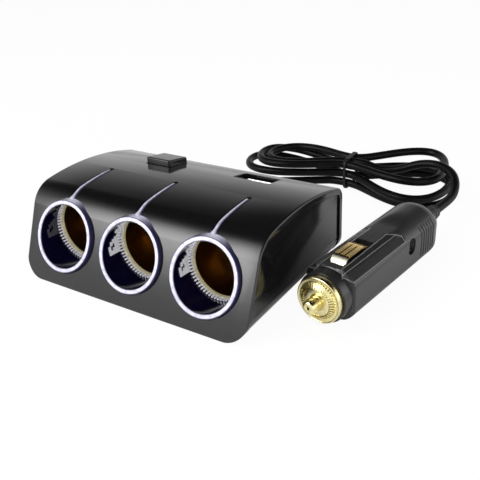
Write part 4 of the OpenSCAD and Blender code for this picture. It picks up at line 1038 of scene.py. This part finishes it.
def panel_edges(side, name):
    """Line of moulded edge round the flat panel and along its ridge, a thin bead whose light grey is a painted
    highlight.
    """
    def on_panel(s, tilt):
        r = plug_radius(s, tilt) - 0.02
        return plug_point(s, side * r * cosd(tilt), r * sind(tilt))

    def limit(s, tilts):
        flats = [t for t in tilts if plug_cut(t) < plug_body(s, t)]
        return flats[0] if flats else tilts[-1]

    first, last = 11.8, 41.6
    span = [first + k * (last - first) / 40 for k in range(41)]
    upper = [(s, limit(s, [80 - 0.5 * k for k in range(50)])) for s in span]
    lower = [(s, limit(s, [30 + 0.5 * k for k in range(50)])) for s in span]
    bm = bmesh.new()
    bow = [(panel_bow(t) + 0.1, t) for t in (upper[0][1], 58, 52, lower[0][1])]
    stern = [(panel_stern(t) - 0.1, t) for t in (upper[-1][1], 62, 58, 54, 50, lower[-1][1])]
    for line in (bow[:1] + upper + stern[:1], bow[-1:] + lower + stern[-1:], bow, stern,
                 [(s, 58) for s in (panel_bow(58), *span, panel_stern(58))]):
        bead(bm, [on_panel(s, t) for s, t in line], 0.16)
    present(f"panel_edges_{name}", bm, "edge_painted_highlight", "splitter", (), merge=FINE)


def make_nose():
    """Brass nose with its knurled band and flange, and the tip pin in it."""
    outline = [(2.45, 12.95), (2.45, 4.5), (2.6, 4.4), (3.3, 4.4), (4.5, 4.42), (4.7, 4.5), (4.75, 5.05),
               (6.1, 5.7), (6.25, 5.5), (6.4, 5.5), (6.6, 5.56), (7.3, 5.6), (7.5, 5.5), (7.6, 5.42), (7.8, 5.42),
               (7.95, 5.52), (8.0, 5.7), (8.0, 7.45), (7.9, 7.66), (7.7, 7.7), (6.0, 7.7), (6.0, 12.95)]
    bm = bmesh.new()
    loft(bm, [[in_plug(r * cosd(k * 3.75), r * sind(k * 3.75), s) for k in range(96)] for r, s in outline],
         joined=True)
    knurl = repeated("knurl", 40, 5.5, (1.6, 0.42, 0.9), -29)
    set_in(bm, knurl, lambda x, y, z: in_plug(x, y, 5.05 + z))
    present("nose", bm, "plug_gold", "nose", ["plug_nose"], sharp=35, merge=FINE)
    tip = [(0, 3.2), (0.5, 3.2), (0.52, 0.25), (0.68, 0.03), (1.3, 0.0)]
    tip += [(p.x, p.y) for p in arc((1.5, 0.85), 0.85, 285, 360, 8)]
    tip += [(2.38, 1.3), (2.4, 1.4), (2.4, 13.0), (3.0, 13.0), (3.0, 14.2), (0, 14.2)]
    present("pin", lathe(tip, 64, in_plug), "plug_gold", "pin_and_fuse", ["plug_pin"])


def strip_piece(name, line, spans, thick, up, material, body, stands_for):
    """Bent strip: its centre line of (s, height) swept across the given spans of width."""
    bm = bmesh.new()
    for x0, x1, first, last in spans:
        part = line[first:last + 1]
        rings = []
        for j, (s, z) in enumerate(part):
            a, b = part[max(j - 1, 0)], part[min(j + 1, len(part) - 1)]
            t = Vector((b[0] - a[0], b[1] - a[1])).normalized()
            n = Vector((t.y, -t.x)) * thick / 2
            if n.y < 0:
                n = -n
            rings.append([plug_point(s + n.x * m, x, up * (z + n.y * m))
                          for x, m in ((x0, 1), (x1, 1), (x1, -1), (x0, -1))])
        loft(bm, rings)
    present(name, bm, material, body, stands_for, sharp=50, merge=FINE)


def make_side_contacts():
    """The slotted strips on the plug's upper and lower sides, with their bright front tabs."""
    line = [(15.75, 7.5), (16.1, 7.9), (16.9, 8.95), (17.6, 9.75), (18.2, 10.1), (18.8, 10.25), (19.4, 10.25),
            (23.0, 10.25), (26.4, 10.25), (27.0, 10.15), (27.8, 9.9), (31.0, 8.5), (32.2, 6.2), (32.65, 5.2)]
    spans = [(-2.8, 2.8, 4, 5), (-2.8, -1.2, 5, 9), (-0.75, 0.75, 5, 9), (1.2, 2.8, 5, 9), (-2.8, 2.8, 9, 13)]
    for up, name, body in ((1, "top", "upper_contact"), (-1, "bottom", "lower_contact")):
        strip_piece(f"strip_{name}", line, spans, 0.5, up, "strip_gold", body, [f"side_contact_{name}"])
        strip_piece(f"strip_tab_{name}", line, [(-2.8, 2.8, 0, 4)], 0.5, up, "tab_silver", body, ())


def coil(name, node, place, low, high, radius, thick, turns, moves_low=True):
    """Coil spring drawn as a tube between a moving body and its seat on the splitter, in place of the part's
    spring.
    """
    count = 20 * turns
    line = [place(radius * cosd(18 * k), radius * sind(18 * k), low + thick / 2 + (high - low - thick) * k / count)
            * MM for k in range(count + 1)]
    piece = tube(name, line, thick / 2 * MM, 8, FINISHES["spring_steel"])
    ends = [tuple(place(0, 0, at) * MM) for at in ((low, high) if moves_low else (high, low))]
    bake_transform(piece)
    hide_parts(node)


SOCKETS = ((-1, "left"), (0, "middle"), (1, "right"))


def make_springs():
    for i, side in SOCKETS:
        coil(f"coil_{side}", f"contact_spring_{side}", at_socket(i), 29.85, 33.55, 2.2, 0.4, 4)
    coil("coil_switch", "switch_spring", over(BUTTON), 20.65, 26.3, 2.6, 0.4, 3, False)
    coil("coil_fuse", "fuse_spring", in_plug, 39.3, 45.8, 2.3, 0.6, 5)


make_cover()
make_base()
for index, side in SOCKETS:
    make_guide(index, side)
    make_socket(index, side)
    make_clip(index, side)
make_button()
make_port()
make_gland()
make_relief()
make_tie()
plug_half(1, "half_right")
plug_half(-1, "half_left")
panel_edges(1, "right")
panel_edges(-1, "left")
make_nose()
make_side_contacts()
make_springs()


# Floor, backdrop and lamps

def stage():
    """A wide white floor, seen almost evenly white by the camera and still showing soft shadows."""
    half, drop = 3.0, 0.0002
    bm = bmesh.new()
    bm.faces.new([bm.verts.new((x * half, y * half, -drop)) for x, y in ((-1, -1), (1, -1), (1, 1), (-1, 1))])
    mesh = bpy.data.meshes.new("floor")
    bm.to_mesh(mesh)
    bm.free()
    material = bpy.data.materials.new("floor_white")
    material.use_nodes = True
    nodes = material.node_tree.nodes
    paper = nodes["Principled BSDF"]
    for socket, value in (("Base Color", (0.92, 0.92, 0.92, 1)), ("Roughness", 0.7), ("Specular IOR Level", 0.1)):
        paper.inputs[socket].default_value = value
    bright, seen, share, mix = map(nodes.new, (
        "ShaderNodeEmission", "ShaderNodeLightPath", "ShaderNodeMath", "ShaderNodeMixShader"))
    share.operation = "MULTIPLY"
    share.inputs[1].default_value = 0.94
    wire(material.node_tree, (seen, "Is Camera Ray", share, 0), (share, 0, mix, "Fac"), (paper, "BSDF", mix, 1),
         (bright, "Emission", mix, 2), (mix, "Shader", nodes["Material Output"], "Surface"))
    floor = link("floor", mesh, material)


# Strengths of what gloss sees, of what diffuse surfaces see, and of the two boxes only gloss sees
GLOSS_LEVEL, PLAIN_LEVEL, SOFT_BOX, RIGHT_BOX = 1.25, 0.6, 8.5, 1.3


def surroundings():
    """White for the camera. Gloss sees a studio: a soft box low at the front left, a pale rear that
    fades upwards, and dark overhead."""
    world = bpy.data.worlds.new("studio")
    world.use_nodes = True
    bpy.context.scene.world = world
    nodes, links = world.node_tree.nodes, world.node_tree.links

    def math_node(kind, a, b, c=None):
        node = nodes.new("ShaderNodeMath")
        node.operation = kind
        for socket, value in zip(node.inputs, (a, b, c)):
            if value is None:
                continue
            if hasattr(value, "is_linked"):
                links.new(value, socket)
            else:
                socket.default_value = value
        return node.outputs[0]

    def product(first, *factors):
        for factor in factors:
            first = math_node("MULTIPLY", first, factor)
        return first

    def rest_of(share):
        """What a share leaves of one."""
        return math_node("SUBTRACT", 1.0, share)

    def eased(value, low, high):
        node = add_node(nodes, "ShaderNodeMapRange", From_Min=low, From_Max=high)
        node.interpolation_type = "SMOOTHSTEP"
        links.new(value, node.inputs["Value"])
        return node.outputs["Result"]

    def along(value, stops):
        """A curve through stops of (component of the direction, level)."""
        ramp = nodes.new("ShaderNodeValToRGB")
        row = ramp.color_ramp.elements
        while len(row) < len(stops):
            row.new(0.5)
        for element, (at, level) in zip(row, stops):
            element.position, element.color = (at + 1) / 2, (level, level, level, 1)
        links.new(math_node("MULTIPLY_ADD", value, 0.5, 0.5), ramp.inputs["Fac"])
        return ramp.outputs["Color"]

    ray = nodes.new("ShaderNodeLightPath")
    place = nodes.new("ShaderNodeTexCoord")
    parts = nodes.new("ShaderNodeSeparateXYZ")
    links.new(place.outputs["Generated"], parts.inputs["Vector"])
    x, y, z = parts.outputs
    front = along(z, [(-1, 0.6), (0.0, 0.95), (0.1, 1.0), (0.35, 0.8), (0.6, 0.3), (0.75, 0.04), (1, 0.0)])
    back = along(z, [(-1, 0.9), (0.0, 0.85), (0.18, 0.76), (0.3, 0.58), (0.42, 0.36), (0.5, 0.16), (0.58, 0.03),
                     (0.7, 0.0)])
    base = nodes.new("ShaderNodeMix")
    base.data_type = "RGBA"
    for value, socket in ((eased(y, -0.35, 0.15), "Factor"), (front, MIX_FIRST), (back, MIX_SECOND)):
        links.new(value, base.inputs[socket])
    forward = along(y, [(-1, 1.0), (-0.8, 1.0), (-0.7, 0.85), (-0.62, 0.68), (-0.55, 0.52), (-0.47, 0.37),
                        (-0.38, 0.18), (-0.3, 0.07), (-0.15, 0.01), (0, 0.0)])
    inwards = math_node("MAXIMUM", math_node("ADD", x, 0.46), 0.0)
    above = eased(math_node("MULTIPLY_ADD", inwards, -0.45, z), 0.085, 0.175)
    left = math_node("MULTIPLY_ADD", eased(x, -0.76, -0.66), 0.7, 0.3)
    soft = product(forward, above, left, rest_of(eased(x, -0.43, -0.20)), SOFT_BOX)
    right = product(eased(x, 0.45, 0.7), rest_of(eased(z, 0.35, 0.6)))
    boxes = math_node("MULTIPLY_ADD", right, RIGHT_BOX, soft)
    gloss = product(base.outputs[MIX_RESULT], GLOSS_LEVEL)
    seen = math_node("MAXIMUM", ray.outputs["Is Camera Ray"], ray.outputs["Is Transmission Ray"])
    shiny = product(ray.outputs["Is Glossy Ray"], rest_of(seen))
    plain = math_node("SUBTRACT", rest_of(seen), shiny)
    total = math_node("MULTIPLY_ADD", math_node("ADD", gloss, boxes), shiny,
                      math_node("MULTIPLY_ADD", plain, PLAIN_LEVEL, seen))
    links.new(total, nodes["Background"].inputs["Strength"])
    nodes["Background"].inputs["Color"].default_value = (1, 1, 1, 1)


def lamp(name, place, target, size, power):
    """A soft lamp that leaves no highlight of its own."""
    data = bpy.data.lights.new(name, "AREA")
    data.shape = "RECTANGLE"
    data.size, data.size_y = size
    data.energy = power
    piece = link(name, data)
    piece.location = place
    piece.rotation_euler = (Vector(target) - Vector(place)).to_track_quat("-Z", "Y").to_euler()
    piece.visible_glossy = False


stage()
surroundings()
lamp("key", (-0.30, -0.40, 0.55), (0, 0, 0), (0.5, 0.5), 3.0)
lamp("fill", (0.45, -0.55, 0.26), (0, 0, 0.02), (0.4, 0.4), 3.5)

scene = bpy.context.scene
scene.view_settings.view_transform = "Standard"
